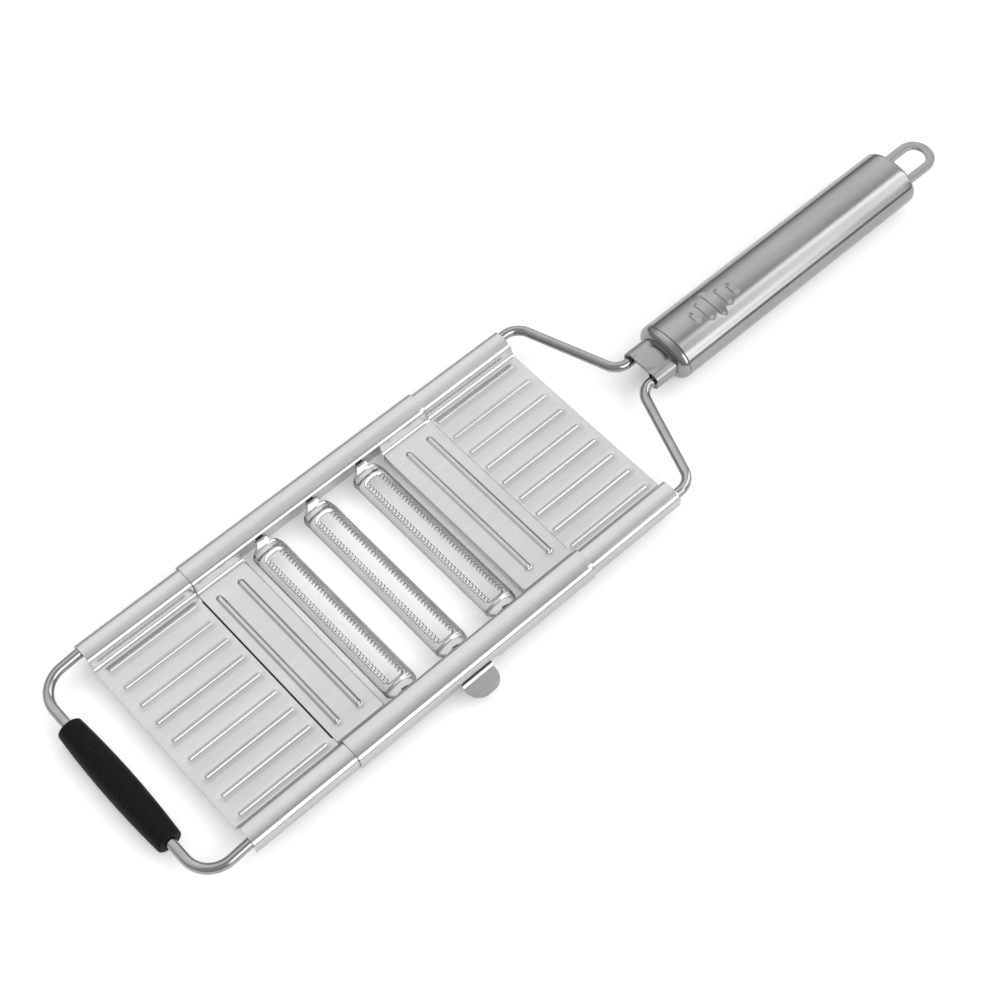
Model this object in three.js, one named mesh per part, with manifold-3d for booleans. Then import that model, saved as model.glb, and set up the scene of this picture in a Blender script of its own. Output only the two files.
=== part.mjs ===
// A hand-held stainless mandoline slicer: two ribbed trays and a blade frame folded over a bent wire,
// three toothed blades that tilt together when a thumb tab slides, and an oval tube handle.
// Millimetres. While it is modelled, x = 0 is the centre line, y = 0 the front edge of the front tray
// and z = 0 the middle of the tray's sheet. The last lines stand the whole slicer on z = 0.
import * as THREE from "three";
import { mergeVertices } from "three/addons/utils/BufferGeometryUtils.js";
import Module from "manifold-3d";

const wasm = await Module();
wasm.setup();

// ---- Driving dimensions ----

const SHEET = 0.8; // thickness of every pressed sheet
const GAP = 0.3; // assembly clearance between neighbouring pieces

const TRAY_LENGTH = 198; // front edge of the front tray to rear edge of the rear tray
const FLOOR_HALF = 39.8; // half width of a tray's floor
const RAIL_INNER = 41.2; // inner top corner of a rail
const RAIL_CROWN = 45.6; // highest line of a rail
const SKIRT_X = 50.1; // middle of a tray's outer skirt
const RAIL_TOP = 5.9; // crown of a rail above the tray floor
const INNER_FALL = 0.7; // how much lower the rail's inner and outer corners are than its crown
const OUTER_FALL = 0.6;
const NEST = SHEET + GAP; // how far the centre frame stands outside the trays it covers

const FRAME_FRONT = 45; // front edge of the centre frame
const FRAME_REAR = 154.6;
const WINDOW_FRONT = 66; // rear edge of the front cross plate
const WINDOW_REAR = 131.6; // front edge of the rear cross plate
const RAIL_LIP_X = 41; // the window is cut this far out, under the rails
const RAIL_LIP_Z = 5; // and this far up, which leaves a short lip along each rail
const CROSS_RIBS = [49.8, 59.5, 138.9, 148.9]; // where the two plates' crosswise ribs are
const CROSS_RIB_LENGTH = 66.6;
const FRONT_TRAY_END = 62; // the trays end under the cross plates
const REAR_TRAY_START = 136;

const BLADE_PITCH = 23.5;
const MIDDLE_BLADE_Y = 98.7;
const PIVOT_Z = 3; // height of the blades' pivots
const CRANK = 6; // pivot to crank lug
const TRAVEL = 3; // stroke of the adjuster bar
const TILT = TRAVEL / CRANK; // radians that a blade turns over the whole stroke

const WIRE_RADIUS = 2;
const WIRE_X = 47.3; // the wire's centre line inside the rails
const WIRE_Z = 3;
const FOOT_Y = -18.9; // front bar of the wire
const FOOT_Z = 0.6; // the front bar is bent down this low
const NECK_WIRE_X = 6.1;

const NECK_FRONT = 227.2;
const HANDLE_FRONT = 241;
const HANDLE_LENGTH = 128;
const HANDLE_REAR = HANDLE_FRONT + HANDLE_LENGTH;
const HANDLE_HALF_WIDTH = 13;
const HANDLE_HALF_HEIGHT = 9.25;
const LOOP_END = HANDLE_REAR + 22;

// ---- Solids ----

function solid(geometry) {
  const bare = geometry.clone();
  bare.deleteAttribute("normal");
  bare.deleteAttribute("uv");
  const merged = mergeVertices(bare, 1e-4);
  return new wasm.Manifold(
    new wasm.Mesh({
      numProp: 3,
      vertProperties: merged.attributes.position.array,
      triVerts: new Uint32Array(merged.index.array),
    }),
  );
}

function geometryOf(body) {
  const mesh = body.getMesh();
  const geometry = new THREE.BufferGeometry();
  geometry.setAttribute("position", new THREE.BufferAttribute(mesh.vertProperties, 3));
  geometry.setIndex(new THREE.BufferAttribute(mesh.triVerts, 1));
  const flat = geometry.toNonIndexed();
  flat.computeVertexNormals();
  return flat;
}

function box(x0, x1, y0, y1, z0, z1) {
  const geometry = new THREE.BoxGeometry(x1 - x0, y1 - y0, z1 - z0);
  return solid(geometry.translate((x0 + x1) / 2, (y0 + y1) / 2, (z0 + z1) / 2));
}

const X_AXIS = new THREE.Vector3(1, 0, 0);
const Y_AXIS = new THREE.Vector3(0, 1, 0);
const Z_AXIS = new THREE.Vector3(0, 0, 1);

function extruded(outline, depth) {
  const shape = new THREE.Shape(outline.map(([a, b]) => new THREE.Vector2(a, b)));
  return new THREE.ExtrudeGeometry(shape, { depth, bevelEnabled: false });
}

// An outline of [x, y] points, raised from z0 to z1.
function prismZ(outline, z0, z1) {
  return solid(extruded(outline, z1 - z0).translate(0, 0, z0));
}

// An outline of [y, z] points, stretched from x0 to x1.
function prismX(outline, x0, x1) {
  const turn = new THREE.Matrix4().makeBasis(Y_AXIS, Z_AXIS, X_AXIS);
  return solid(extruded(outline, x1 - x0).applyMatrix4(turn).translate(x0, 0, 0));
}

// An outline of [x, z] points, stretched from y0 to y1.
function prismY(outline, y0, y1) {
  const turn = new THREE.Matrix4().makeBasis(X_AXIS, Z_AXIS, Y_AXIS.clone().negate());
  return solid(extruded(outline, y1 - y0).applyMatrix4(turn).translate(0, y1, 0));
}

// ---- Outlines ----

// Points along straight runs. Each corner is [x, y, z, radius], and one with a radius becomes an arc.
function filleted(corners, arcSteps = 4) {
  const places = corners.map(([a, b, c]) => new THREE.Vector3(a, b, c));
  const path = [places[0]];
  for (let i = 1; i < corners.length - 1; i += 1) {
    const radius = corners[i][3];
    const back = places[i - 1].clone().sub(places[i]).normalize();
    const onward = places[i + 1].clone().sub(places[i]).normalize();
    const half = back.angleTo(onward) / 2;
    if (!radius) {
      path.push(places[i]);
      continue;
    }
    const middle = back.clone().add(onward).normalize();
    const centre = places[i].clone().addScaledVector(middle, radius / Math.sin(half));
    const start = places[i].clone().addScaledVector(back, radius / Math.tan(half)).sub(centre);
    const axis = back.clone().cross(onward).normalize();
    const turn = half * 2 - Math.PI;
    for (let k = 0; k <= arcSteps; k += 1) {
      path.push(start.clone().applyAxisAngle(axis, (turn * k) / arcSteps).add(centre));
    }
  }
  path.push(places[places.length - 1]);
  return path;
}

// A flat path of [a, b, radius] corners as filleted [a, b] points.
function filletedFlat(corners, arcSteps = 3) {
  const path = filleted(corners.map(([a, b, radius]) => [a, b, 0, radius]), arcSteps);
  return path.map((p) => [p.x, p.y]);
}

// The closed outline of a sheet of the given thickness whose middle follows the path.
function sheetOutline(path, thickness = SHEET) {
  const side = (sign) =>
    path.map(([a, b], i) => {
      const [a0, b0] = path[Math.max(i - 1, 0)];
      const [a1, b1] = path[Math.min(i + 1, path.length - 1)];
      const before = new THREE.Vector2(a - a0, b - b0).normalize();
      const after = new THREE.Vector2(a1 - a, b1 - b).normalize();
      const along = before.clone().add(after).normalize();
      const cosHalf = i > 0 && i < path.length - 1 ? along.dot(before) : 1;
      const reach = (sign * thickness) / 2 / cosHalf;
      return [a - along.y * reach, b + along.x * reach];
    });
  return [...side(1), ...side(-1).reverse()];
}

// An oval ring of points in x and z at a station along y; a power above 2 squares it a little.
const OVAL_POINTS = 32;
const OVAL_POWER = 2.35;
function ovalRing({ y, halfWidth, halfHeight }) {
  return Array.from({ length: OVAL_POINTS }, (_, i) => {
    const angle = ((i + 0.5) / OVAL_POINTS) * 2 * Math.PI;
    const c = Math.cos(angle);
    const s = Math.sin(angle);
    const x = halfWidth * Math.sign(c) * Math.abs(c) ** (2 / OVAL_POWER);
    const z = halfHeight * Math.sign(s) * Math.abs(s) ** (2 / OVAL_POWER);
    return new THREE.Vector3(x, y, WIRE_Z + z);
  });
}

// A closed body through rings of equal point counts, one after another along +y.
function loft(rings) {
  const count = rings[0].length;
  const vertices = rings.flat();
  const faces = [];
  for (let r = 0; r + 1 < rings.length; r += 1) {
    for (let i = 0; i < count; i += 1) {
      const a = r * count + i;
      const b = r * count + ((i + 1) % count);
      faces.push([a, a + count, b], [b, a + count, b + count]);
    }
  }
  const last = (rings.length - 1) * count;
  for (let i = 1; i + 1 < count; i += 1) {
    faces.push([0, i, i + 1], [last, last + i + 1, last + i]);
  }
  const geometry = new THREE.BufferGeometry().setFromPoints(vertices);
  geometry.setIndex(faces.flat());
  return solid(geometry);
}

// ---- Trays and centre frame: one folded section, nested ----

// The folded section from skirt to skirt, moved outwards by grow.
function railSection(grow, skirtBottom) {
  const right = [
    [FLOOR_HALF - grow, grow, 1],
    [RAIL_INNER - grow, RAIL_TOP - INNER_FALL + grow, 1.6],
    [RAIL_CROWN, RAIL_TOP + grow, 14],
    [SKIRT_X + grow, RAIL_TOP - OUTER_FALL + grow, 1.9],
    [SKIRT_X + grow, skirtBottom, 0],
  ];
  const left = right.map(([x, z, radius]) => [-x, z, radius]).reverse();
  return sheetOutline(filletedFlat([...left, ...right]));
}

const RIB_RADIUS = 1.6;
const RIB_HEIGHT = 0.9;

// A raised round-ended rib of the given length along +y, centred on the origin of a sheet's top face.
function rib(length) {
  const capsule = new THREE.CapsuleGeometry(RIB_RADIUS, length - 2 * RIB_RADIUS, 2, 12);
  const whole = solid(capsule.translate(0, 0, RIB_HEIGHT - RIB_RADIUS));
  const half = length / 2;
  return whole.intersect(box(-RIB_RADIUS, RIB_RADIUS, -half, half, -SHEET / 2, RIB_HEIGHT));
}

const TRAY_RIBS = 9;
const RIB_PITCH = 9;

function ribbedTray(start, end, ribStart, ribEnd) {
  let tray = prismY(railSection(0, 0), start, end);
  const one = rib(ribEnd - ribStart);
  for (let i = 0; i < TRAY_RIBS; i += 1) {
    const x = (i - (TRAY_RIBS - 1) / 2) * RIB_PITCH;
    tray = tray.add(one.translate([x, (ribStart + ribEnd) / 2, SHEET / 2]));
  }
  return tray;
}

const RIB_LENGTH = 39.8;
const RIB_MARGIN = 2.9; // from a tray's outer edge to its ribs

function frontTray() {
  return ribbedTray(0, FRONT_TRAY_END, RIB_MARGIN, RIB_MARGIN + RIB_LENGTH);
}

function rearTray() {
  const ribEnd = TRAY_LENGTH - RIB_MARGIN;
  return ribbedTray(REAR_TRAY_START, TRAY_LENGTH, ribEnd - RIB_LENGTH, ribEnd);
}

const TAB_FRONT = 90.2; // front edge of the thumb tab where it leaves the skirt
const TAB_WIDTH = 14.2;
const SLOT_TOP = 2.2; // top of the skirt's slot that the tab leaves through
const FRAME_SKIRT_BOTTOM = -0.4;

const FRONT_LIP_BOTTOM = -1.2; // the plates' edges are turned down at the window
const REAR_LIP_BOTTOM = -2.2;

function centreFrame() {
  let frame = prismY(railSection(NEST, FRAME_SKIRT_BOTTOM), FRAME_FRONT, FRAME_REAR);
  const below = -NEST;
  const window = box(-RAIL_LIP_X, RAIL_LIP_X, WINDOW_FRONT, WINDOW_REAR, below, RAIL_LIP_Z);
  const lipHalf = FLOOR_HALF - NEST - SHEET;
  const frontEdge = WINDOW_FRONT - SHEET;
  const frontLip = box(-lipHalf, lipHalf, frontEdge, WINDOW_FRONT, FRONT_LIP_BOTTOM, NEST);
  const rearEdge = WINDOW_REAR + SHEET;
  const rearLip = box(-lipHalf, lipHalf, WINDOW_REAR, rearEdge, REAR_LIP_BOTTOM, NEST);
  frame = frame.subtract(window).add(frontLip).add(rearLip);
  const cross = rib(CROSS_RIB_LENGTH).rotate([0, 0, 90]);
  for (const y of CROSS_RIBS) {
    frame = frame.add(cross.translate([0, y, NEST + SHEET / 2]));
  }
  return frame.subtract(tabSlot());
}

// The arched slot in the right skirt, as long as the tab and its travel.
function tabSlot() {
  const front = TAB_FRONT - GAP;
  const rear = TAB_FRONT + TAB_WIDTH + TRAVEL + GAP;
  const bottom = 3 * FRAME_SKIRT_BOTTOM;
  const corner = 1.6;
  const arch = filletedFlat([
    [front, bottom, 0],
    [front, SLOT_TOP, corner],
    [rear, SLOT_TOP, corner],
    [rear, bottom, 0],
  ]);
  return prismX(arch, SKIRT_X - SHEET, SKIRT_X + 2 * NEST);
}

// ---- Blades and what carries them ----

const TOOTH_PITCH = 1.6;
const TEETH = 41;
const TOOTH_ROOT = 4.3; // from the slot's middle line to the roots of its teeth
const TOOTH_TIP = 2.5;
const TOOTH_BEVEL = 0.3 * TOOTH_PITCH; // how far each side of a gap between teeth slants
const SLOT_END = 1.6; // how far the slot runs on past its last tooth
const BLADE_HALF_LENGTH = 37.6;
const BLADE_HALF_WIDTH = 6.5;

// The slot between the two combs, seen from above, with teeth that point at each other.
function slotOutline() {
  const rowEnd = (TEETH * TOOTH_PITCH) / 2;
  const half = [];
  for (let i = 0; i < TEETH; i += 1) {
    const x = i * TOOTH_PITCH - rowEnd;
    half.push([x, TOOTH_ROOT]);
    half.push([x + TOOTH_BEVEL, TOOTH_TIP]);
    half.push([x + TOOTH_PITCH - TOOTH_BEVEL, TOOTH_TIP]);
  }
  half.push([rowEnd, TOOTH_ROOT]);
  half.push([rowEnd + SLOT_END, TOOTH_TIP]);
  half.push([rowEnd + SLOT_END, -TOOTH_TIP]);
  return [...half, ...half.map(([x, y]) => [-x, -y])];
}

const FLANK_FOOT = -1.7; // height of a blade's lower edges
const SHOULDER = 0.65; // height where its steep flanks turn into the toothed top
const SHOULDER_Y = TOOTH_ROOT + 0.3;
const RIDGE = 2.2;
const CORNER_RADIUS = 1.8;
const CUTTER_REACH = 4; // blade cutters reach this far above and below the arch

// A blade's arched plate, with rounded corners and the toothed slot.
function bladePlate() {
  const arch = filletedFlat([
    [-BLADE_HALF_WIDTH, FLANK_FOOT, 0],
    [-SHOULDER_Y, SHOULDER, 0.8],
    [0, RIDGE, 6],
    [SHOULDER_Y, SHOULDER, 0.8],
    [BLADE_HALF_WIDTH, FLANK_FOOT, 0],
  ], 2);
  const end = BLADE_HALF_LENGTH;
  const side = BLADE_HALF_WIDTH - 0.2;
  const beyond = 2 * BLADE_HALF_WIDTH;
  const shoulder = end - CORNER_RADIUS - 1;
  const quarter = filletedFlat([
    [0, -beyond, 0],
    [shoulder, -beyond, 0],
    [shoulder, -side, 0],
    [end, -side, CORNER_RADIUS],
    [end, 0, 0],
  ], 4);
  const front = [...quarter, ...quarter.slice(1).reverse().map(([x, y]) => [-x, y])];
  const rear = front.map(([x, y]) => [-x, -y]);
  const cutter = (outline) => prismZ(outline, -CUTTER_REACH, CUTTER_REACH);
  const plan = cutter(front).add(cutter(rear));
  return prismX(sheetOutline(arch), -end, end).intersect(plan).subtract(cutter(slotOutline()));
}

const TONGUE_HALF = 2.5; // half width of the tongues that rise from a blade's ends to its pivots
const TONGUE_START = 34.9;
const TONGUE_LOW = RIDGE - 0.35; // the ridge's rounding takes a little off its height
const STUB_START = 40.8; // from here the tongues are narrow stubs, inside the strips' holes
const STUB_HALF = 1.6;
const STUB_END = 43;

function tongue() {
  const rise = filletedFlat([
    [TONGUE_START, TONGUE_LOW, 0],
    [37, TONGUE_LOW, 2],
    [39.4, PIVOT_Z, 2],
    [STUB_END, PIVOT_Z, 0],
  ]);
  const cut = box(STUB_START, STUB_END + 1, STUB_HALF, 2 * TONGUE_HALF, 0, 2 * PIVOT_Z);
  const whole = prismY(sheetOutline(rise), -TONGUE_HALF, TONGUE_HALF);
  return whole.subtract(cut).subtract(cut.mirror([0, 1, 0]));
}

// A blade's crank leans forward by half the tilt at rest, and backward by as much at the end.
const LUG_LEAN = TILT / 2;
const LUG_Y = -CRANK * Math.sin(LUG_LEAN);
const LUG_Z = PIVOT_Z - CRANK * Math.cos(LUG_LEAN);
const LUG_RADIUS = 0.7;
const LUG_END = 44.8;
const LEG_X = 38.3;
const LEG_WIDTH = 2.4;

// The leg at a blade's right end and the lug that reaches under the strip into the adjuster bar.
function crank() {
  const leg = sheetOutline([[0, PIVOT_Z], [LUG_Y, LUG_Z - LUG_RADIUS]], LEG_WIDTH);
  const reach = LUG_END - LEG_X;
  const lug = new THREE.CylinderGeometry(LUG_RADIUS, LUG_RADIUS, reach, 12);
  lug.rotateZ(Math.PI / 2).translate(LEG_X + reach / 2, LUG_Y, LUG_Z);
  return prismX(leg, LEG_X, LEG_X + SHEET).add(solid(lug));
}

const BLADE_YS = [-1, 0, 1].map((index) => MIDDLE_BLADE_Y + index * BLADE_PITCH);

function blade(y) {
  const body = bladePlate().add(tongue()).add(tongue().mirror([1, 0, 0])).add(crank());
  return body.translate([0, y, 0]);
}

const STRIP_X = 41.2; // inner face of the strips that the blades' stubs turn in
const STRIP_TOP = 5.8;
const STRIP_BOTTOM = -1.7;
const STRIP_OVERLAP = 1.5; // how far the strips run on past the window
const STRIP_HOLE_RADIUS = STUB_HALF + 0.5;

function bearingStrip() {
  const front = WINDOW_FRONT - STRIP_OVERLAP;
  const rear = WINDOW_REAR + STRIP_OVERLAP;
  let strip = box(STRIP_X, STRIP_X + SHEET, front, rear, STRIP_BOTTOM, STRIP_TOP);
  for (const y of BLADE_YS) {
    const hole = new THREE.CylinderGeometry(STRIP_HOLE_RADIUS, STRIP_HOLE_RADIUS, 4 * SHEET, 20);
    hole.rotateZ(Math.PI / 2).translate(STRIP_X, y, PIVOT_Z);
    strip = strip.subtract(solid(hole));
  }
  return strip;
}

const BAR_X = 43.4; // inner face of the adjuster bar's web
const BAR_TOP = 0.6;
const BAR_BOTTOM = -4.4;
const BAR_SHORTER = 0.5; // the web ends this far inside the window's edges
const FOLD_X = 53.4; // where the thumb tab bends down
const TAB_REACH = 6.6;
const TAB_ROOT = 0.5; // the tab starts this far inside the fold
const TAB_CORNER = 6.2;
const TAB_DROOP = 17; // degrees

// The bar that tilts the blades: a web with an open notch for each lug, and a flange with the tab.
function adjusterBar() {
  const front = WINDOW_FRONT + BAR_SHORTER;
  const rear = WINDOW_REAR - BAR_SHORTER;
  let web = box(BAR_X, BAR_X + SHEET, front, rear, BAR_BOTTOM, BAR_TOP);
  const slack = LUG_RADIUS + GAP;
  for (const bladeY of BLADE_YS) {
    const y = bladeY + LUG_Y;
    const low = BAR_BOTTOM - 1;
    web = web.subtract(box(BAR_X - 1, BAR_X + 2, y - slack, y + slack, low, LUG_Z + slack + 0.1));
  }
  const flangeBottom = BAR_TOP - SHEET;
  const tabRear = TAB_FRONT + TAB_WIDTH;
  const flange = box(BAR_X, FOLD_X, TAB_FRONT, tabRear, flangeBottom, BAR_TOP);
  const outline = filletedFlat([
    [-TAB_ROOT, 0, 0],
    [TAB_REACH, 0, TAB_CORNER],
    [TAB_REACH, TAB_WIDTH, TAB_CORNER],
    [-TAB_ROOT, TAB_WIDTH, 0],
  ], 5);
  const tab = prismZ(outline, -SHEET, 0).rotate([0, TAB_DROOP, 0]);
  return web.add(flange).add(tab.translate([FOLD_X, TAB_FRONT, BAR_TOP]));
}

// ---- Wire ----

// A path whose sections stand exactly at the given stations.
class StationPath extends THREE.Curve {
  constructor(stations) {
    super();
    this.stations = stations;
  }

  getPoint(t) {
    const place = t * (this.stations.length - 1);
    const i = Math.min(Math.floor(place), this.stations.length - 2);
    return this.stations[i].clone().lerp(this.stations[i + 1], place - i);
  }

  getPointAt(t) {
    return this.getPoint(t);
  }

  getTangentAt(t) {
    const i = Math.round(t * (this.stations.length - 1));
    const before = this.stations[Math.max(i - 1, 0)];
    const after = this.stations[Math.min(i + 1, this.stations.length - 1)];
    return after.clone().sub(before).normalize();
  }
}

const YOKE_SLOPE = 0.366; // rise in y for each mm that the wires close in behind the trays
const YOKE_OUTER_Y = 206.2;
const NECK_WIRE_END = 243.5;
const WIRE_SIDES = 12;

function wireFrame() {
  const neckCornerY = YOKE_OUTER_Y + YOKE_SLOPE * (WIRE_X - NECK_WIRE_X);
  const right = [
    [NECK_WIRE_X, NECK_WIRE_END, WIRE_Z, 0],
    [NECK_WIRE_X, neckCornerY, WIRE_Z, 7],
    [WIRE_X, YOKE_OUTER_Y, WIRE_Z, 8],
    [WIRE_X, 0, WIRE_Z, 30],
    [WIRE_X, FOOT_Y, FOOT_Z, 11],
  ];
  const left = right.map(([x, y, z, radius]) => [-x, y, z, radius]).reverse();
  const stations = filleted([...right, ...left], 6);
  const section = new THREE.Shape().absarc(0, 0, WIRE_RADIUS, 0, 2 * Math.PI);
  const geometry = new THREE.ExtrudeGeometry(section, {
    steps: stations.length - 1,
    curveSegments: WIRE_SIDES / 2,
    extrudePath: new StationPath(stations),
  });
  return solid(geometry);
}

const GRIP_HALF_LENGTH = 28.2;
const GRIP_END_RADIUS = 4.8;
const GRIP_SWELL = 1.05; // how much thicker the grip is in the middle
const GRIP_EDGE = 0.8; // chamfer at the grip's ends
const GRIP_SINK = 1; // the grip's middle lies this far below the wire's

// The barrel-shaped grip, lathed about the wire's direction and bored for the wire.
function footGrip() {
  const steps = 12;
  const swelling = Array.from({ length: steps + 1 }, (_, i) => {
    const along = (2 * i) / steps - 1;
    const radius = GRIP_END_RADIUS + GRIP_SWELL * (1 - along * along);
    return new THREE.Vector2(radius, along * (GRIP_HALF_LENGTH - GRIP_EDGE));
  });
  const profile = [
    new THREE.Vector2(0, -GRIP_HALF_LENGTH),
    new THREE.Vector2(GRIP_END_RADIUS - GRIP_EDGE, -GRIP_HALF_LENGTH),
    ...swelling,
    new THREE.Vector2(GRIP_END_RADIUS - GRIP_EDGE, GRIP_HALF_LENGTH),
    new THREE.Vector2(0, GRIP_HALF_LENGTH),
  ];
  const barrel = new THREE.LatheGeometry(profile, 20).rotateZ(Math.PI / 2);
  const boreRadius = WIRE_RADIUS + GAP;
  const bore = new THREE.CylinderGeometry(boreRadius, boreRadius, 3 * GRIP_HALF_LENGTH, 16);
  bore.rotateZ(Math.PI / 2).translate(0, 0, GRIP_SINK);
  return solid(barrel).subtract(solid(bore)).translate([0, FOOT_Y, FOOT_Z - GRIP_SINK]);
}

// ---- Handle ----

const NECK_HALF_WIDTH = 9.2;
const NECK_HALF_HEIGHT = 4.2;
const NECK_REAR = 246;

// A bar along y whose section is a rectangle with nearly half-round ends, shrunk by inset.
function neckBar(inset, y0, y1) {
  const halfWidth = NECK_HALF_WIDTH - inset;
  const halfHeight = NECK_HALF_HEIGHT - inset;
  const radius = halfHeight - 0.1;
  const section = filletedFlat([
    [0, -halfHeight, 0],
    [halfWidth, -halfHeight, radius],
    [halfWidth, halfHeight, radius],
    [-halfWidth, halfHeight, radius],
    [-halfWidth, -halfHeight, radius],
    [-0.01, -halfHeight, 0],
  ], 4);
  return prismY(section, y0, y1).translate([0, 0, WIRE_Z]);
}

// The flat tube that holds both ends of the wire.
function neckSleeve() {
  return neckBar(0, NECK_FRONT, NECK_REAR).subtract(neckBar(SHEET, NECK_FRONT - 1, NECK_REAR + 1));
}

// The handle's oval section at a station along y, shrunk by inset.
function ovalAt(y, inset) {
  return ovalRing({ y, halfWidth: HANDLE_HALF_WIDTH - inset, halfHeight: HANDLE_HALF_HEIGHT - inset });
}

const TUBE_WALL = 1;
const TUBE_FRONT = HANDLE_FRONT + 0.2;
const CAP_LENGTH = 3;
const PLUG_LENGTH = 8; // how far the collar and the end cap reach into the tube
const PLUG_INSET = TUBE_WALL + GAP;

const FIRST_DIMPLE = 13.5; // from the tube's front edge
const DIMPLE_PITCH = 5.1;
const DIMPLE_LENGTHS = [6.1, 10.6, 13.6, 9.6, 6.8];
const DIMPLE_HALF_WIDTH = 1.7;
const DIMPLE_BALL = 1.4; // half height of the ellipsoid that presses a dimple
const DIMPLE_DEPTH = 0.55;

function handleTube() {
  const rear = HANDLE_REAR - CAP_LENGTH - GAP;
  const outer = loft([ovalAt(TUBE_FRONT, 0), ovalAt(rear, 0)]);
  const inner = loft([ovalAt(TUBE_FRONT - 1, TUBE_WALL), ovalAt(rear + 1, TUBE_WALL)]);
  let tube = outer.subtract(inner);
  const ballZ = WIRE_Z + HANDLE_HALF_HEIGHT + DIMPLE_BALL - DIMPLE_DEPTH;
  DIMPLE_LENGTHS.forEach((length, i) => {
    const ball = new THREE.SphereGeometry(1, 12, 8).scale(length / 2, DIMPLE_HALF_WIDTH, DIMPLE_BALL);
    ball.translate(0, HANDLE_FRONT + FIRST_DIMPLE + i * DIMPLE_PITCH, ballZ);
    tube = tube.subtract(solid(ball));
  });
  return tube;
}

// The domed front piece of the handle, with a socket for the neck and a plug inside the tube.
function handleCollar() {
  const dome = loft([
    ovalAt(HANDLE_FRONT - 3.6, 2.9),
    ovalAt(HANDLE_FRONT - 2.9, 1.4),
    ovalAt(HANDLE_FRONT - 1.6, 0.4),
    ovalAt(HANDLE_FRONT - 0.1, 0),
  ]);
  const plugEnd = HANDLE_FRONT + PLUG_LENGTH;
  const plug = loft([ovalAt(HANDLE_FRONT - 0.4, PLUG_INSET), ovalAt(plugEnd, PLUG_INSET)]);
  return dome.add(plug).subtract(neckBar(-GAP, HANDLE_FRONT - 5, plugEnd + 1));
}

const LOOP_HALF_WIDTH = 8.1;
const LOOP_STRIP = 3.7; // width of the loop's strip
const LOOP_HALF_THICKNESS = 0.8;
const LOOP_LEG = 8; // how far the loop's legs reach into the handle

// The cap that closes the rear of the tube, with two slots for the loop's legs.
function handleEndCap() {
  const start = HANDLE_REAR - CAP_LENGTH;
  const dome = loft([
    ovalAt(start, 0),
    ovalAt(HANDLE_REAR - 1.6, 0),
    ovalAt(HANDLE_REAR - 0.5, 0.5),
    ovalAt(HANDLE_REAR, 1.7),
  ]);
  const plugEnd = start - PLUG_LENGTH;
  const plug = loft([ovalAt(plugEnd, PLUG_INSET), ovalAt(start + 0.3, PLUG_INSET)]);
  const inner = LOOP_HALF_WIDTH - LOOP_STRIP - GAP;
  const outer = LOOP_HALF_WIDTH + GAP;
  const thick = LOOP_HALF_THICKNESS + GAP;
  const slot = box(inner, outer, plugEnd - 1, HANDLE_REAR + 1, WIRE_Z - thick, WIRE_Z + thick);
  return dome.add(plug).subtract(slot).subtract(slot.mirror([1, 0, 0]));
}

// A flat strip bent into a U, with both legs inside the end cap.
function hangLoop() {
  const legEnd = HANDLE_REAR - LOOP_LEG;
  const inner = LOOP_HALF_WIDTH - LOOP_STRIP;
  const bend = LOOP_END - LOOP_HALF_WIDTH;
  const shape = new THREE.Shape();
  shape.moveTo(LOOP_HALF_WIDTH, legEnd);
  shape.lineTo(LOOP_HALF_WIDTH, bend);
  shape.absarc(0, bend, LOOP_HALF_WIDTH, 0, Math.PI, false);
  shape.lineTo(-LOOP_HALF_WIDTH, legEnd);
  shape.lineTo(-inner, legEnd);
  shape.lineTo(-inner, bend);
  shape.absarc(0, bend, inner, Math.PI, 0, true);
  shape.lineTo(inner, legEnd);
  const depth = 2 * LOOP_HALF_THICKNESS;
  const strip = new THREE.ExtrudeGeometry(shape, { depth, bevelEnabled: false, curveSegments: 16 });
  return solid(strip.translate(0, 0, WIRE_Z - LOOP_HALF_THICKNESS));
}

// ---- Assembly ----

const slicer = new THREE.Group();
slicer.name = "slicer";

const finishes = {
  sheet: { color: 0xc9cacc, metalness: 1, roughness: 0.28 },
  wire: { color: 0xcfd1d4, metalness: 1, roughness: 0.16 },
  blade: { color: 0xd6d7d9, metalness: 1, roughness: 0.2 },
  handle: { color: 0xbfc0c2, metalness: 1, roughness: 0.34 },
  rubber: { color: 0x161616, metalness: 0, roughness: 0.75 },
};

function place(name, body, finish) {
  const material = new THREE.MeshStandardMaterial(finishes[finish]);
  const mesh = new THREE.Mesh(geometryOf(body), material);
  mesh.name = name;
  slicer.add(mesh);
}

place("front_tray", frontTray(), "sheet");
place("rear_tray", rearTray(), "sheet");
place("centre_frame", centreFrame(), "sheet");
place("bearing_strip_left", bearingStrip().mirror([1, 0, 0]), "sheet");
place("bearing_strip_right", bearingStrip(), "sheet");
place("adjuster_bar", adjusterBar(), "sheet");
["blade_front", "blade_middle", "blade_rear"].forEach((name, i) => {
  place(name, blade(BLADE_YS[i]), "blade");
});
place("wire_frame", wireFrame(), "wire");
place("foot_grip", footGrip(), "rubber");
place("neck_sleeve", neckSleeve(), "sheet");
place("handle_collar", handleCollar(), "handle");
place("handle_tube", handleTube(), "handle");
place("handle_end_cap", handleEndCap(), "handle");
place("hang_loop", hangLoop(), "handle");

// The slicer lies on z = 0, with the middle of its footprint over the origin.
const extent = new THREE.Box3().setFromObject(slicer);
const middle = extent.getCenter(new THREE.Vector3());
slicer.position.set(-middle.x, -middle.y, -extent.min.z);

const part = new THREE.Group();
part.add(slicer);
export default part;
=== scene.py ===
"""Looks for a hand-held mandoline slicer: pressed stainless sheet, bent wire, toothed blades and a brushed
handle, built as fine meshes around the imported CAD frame. Modelled in millimetres in the slicer's own
frame: x = 0 on the centre line, y = 0 at the front tray's front edge, z = 0 at the middle of its sheet."""

import math

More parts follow.
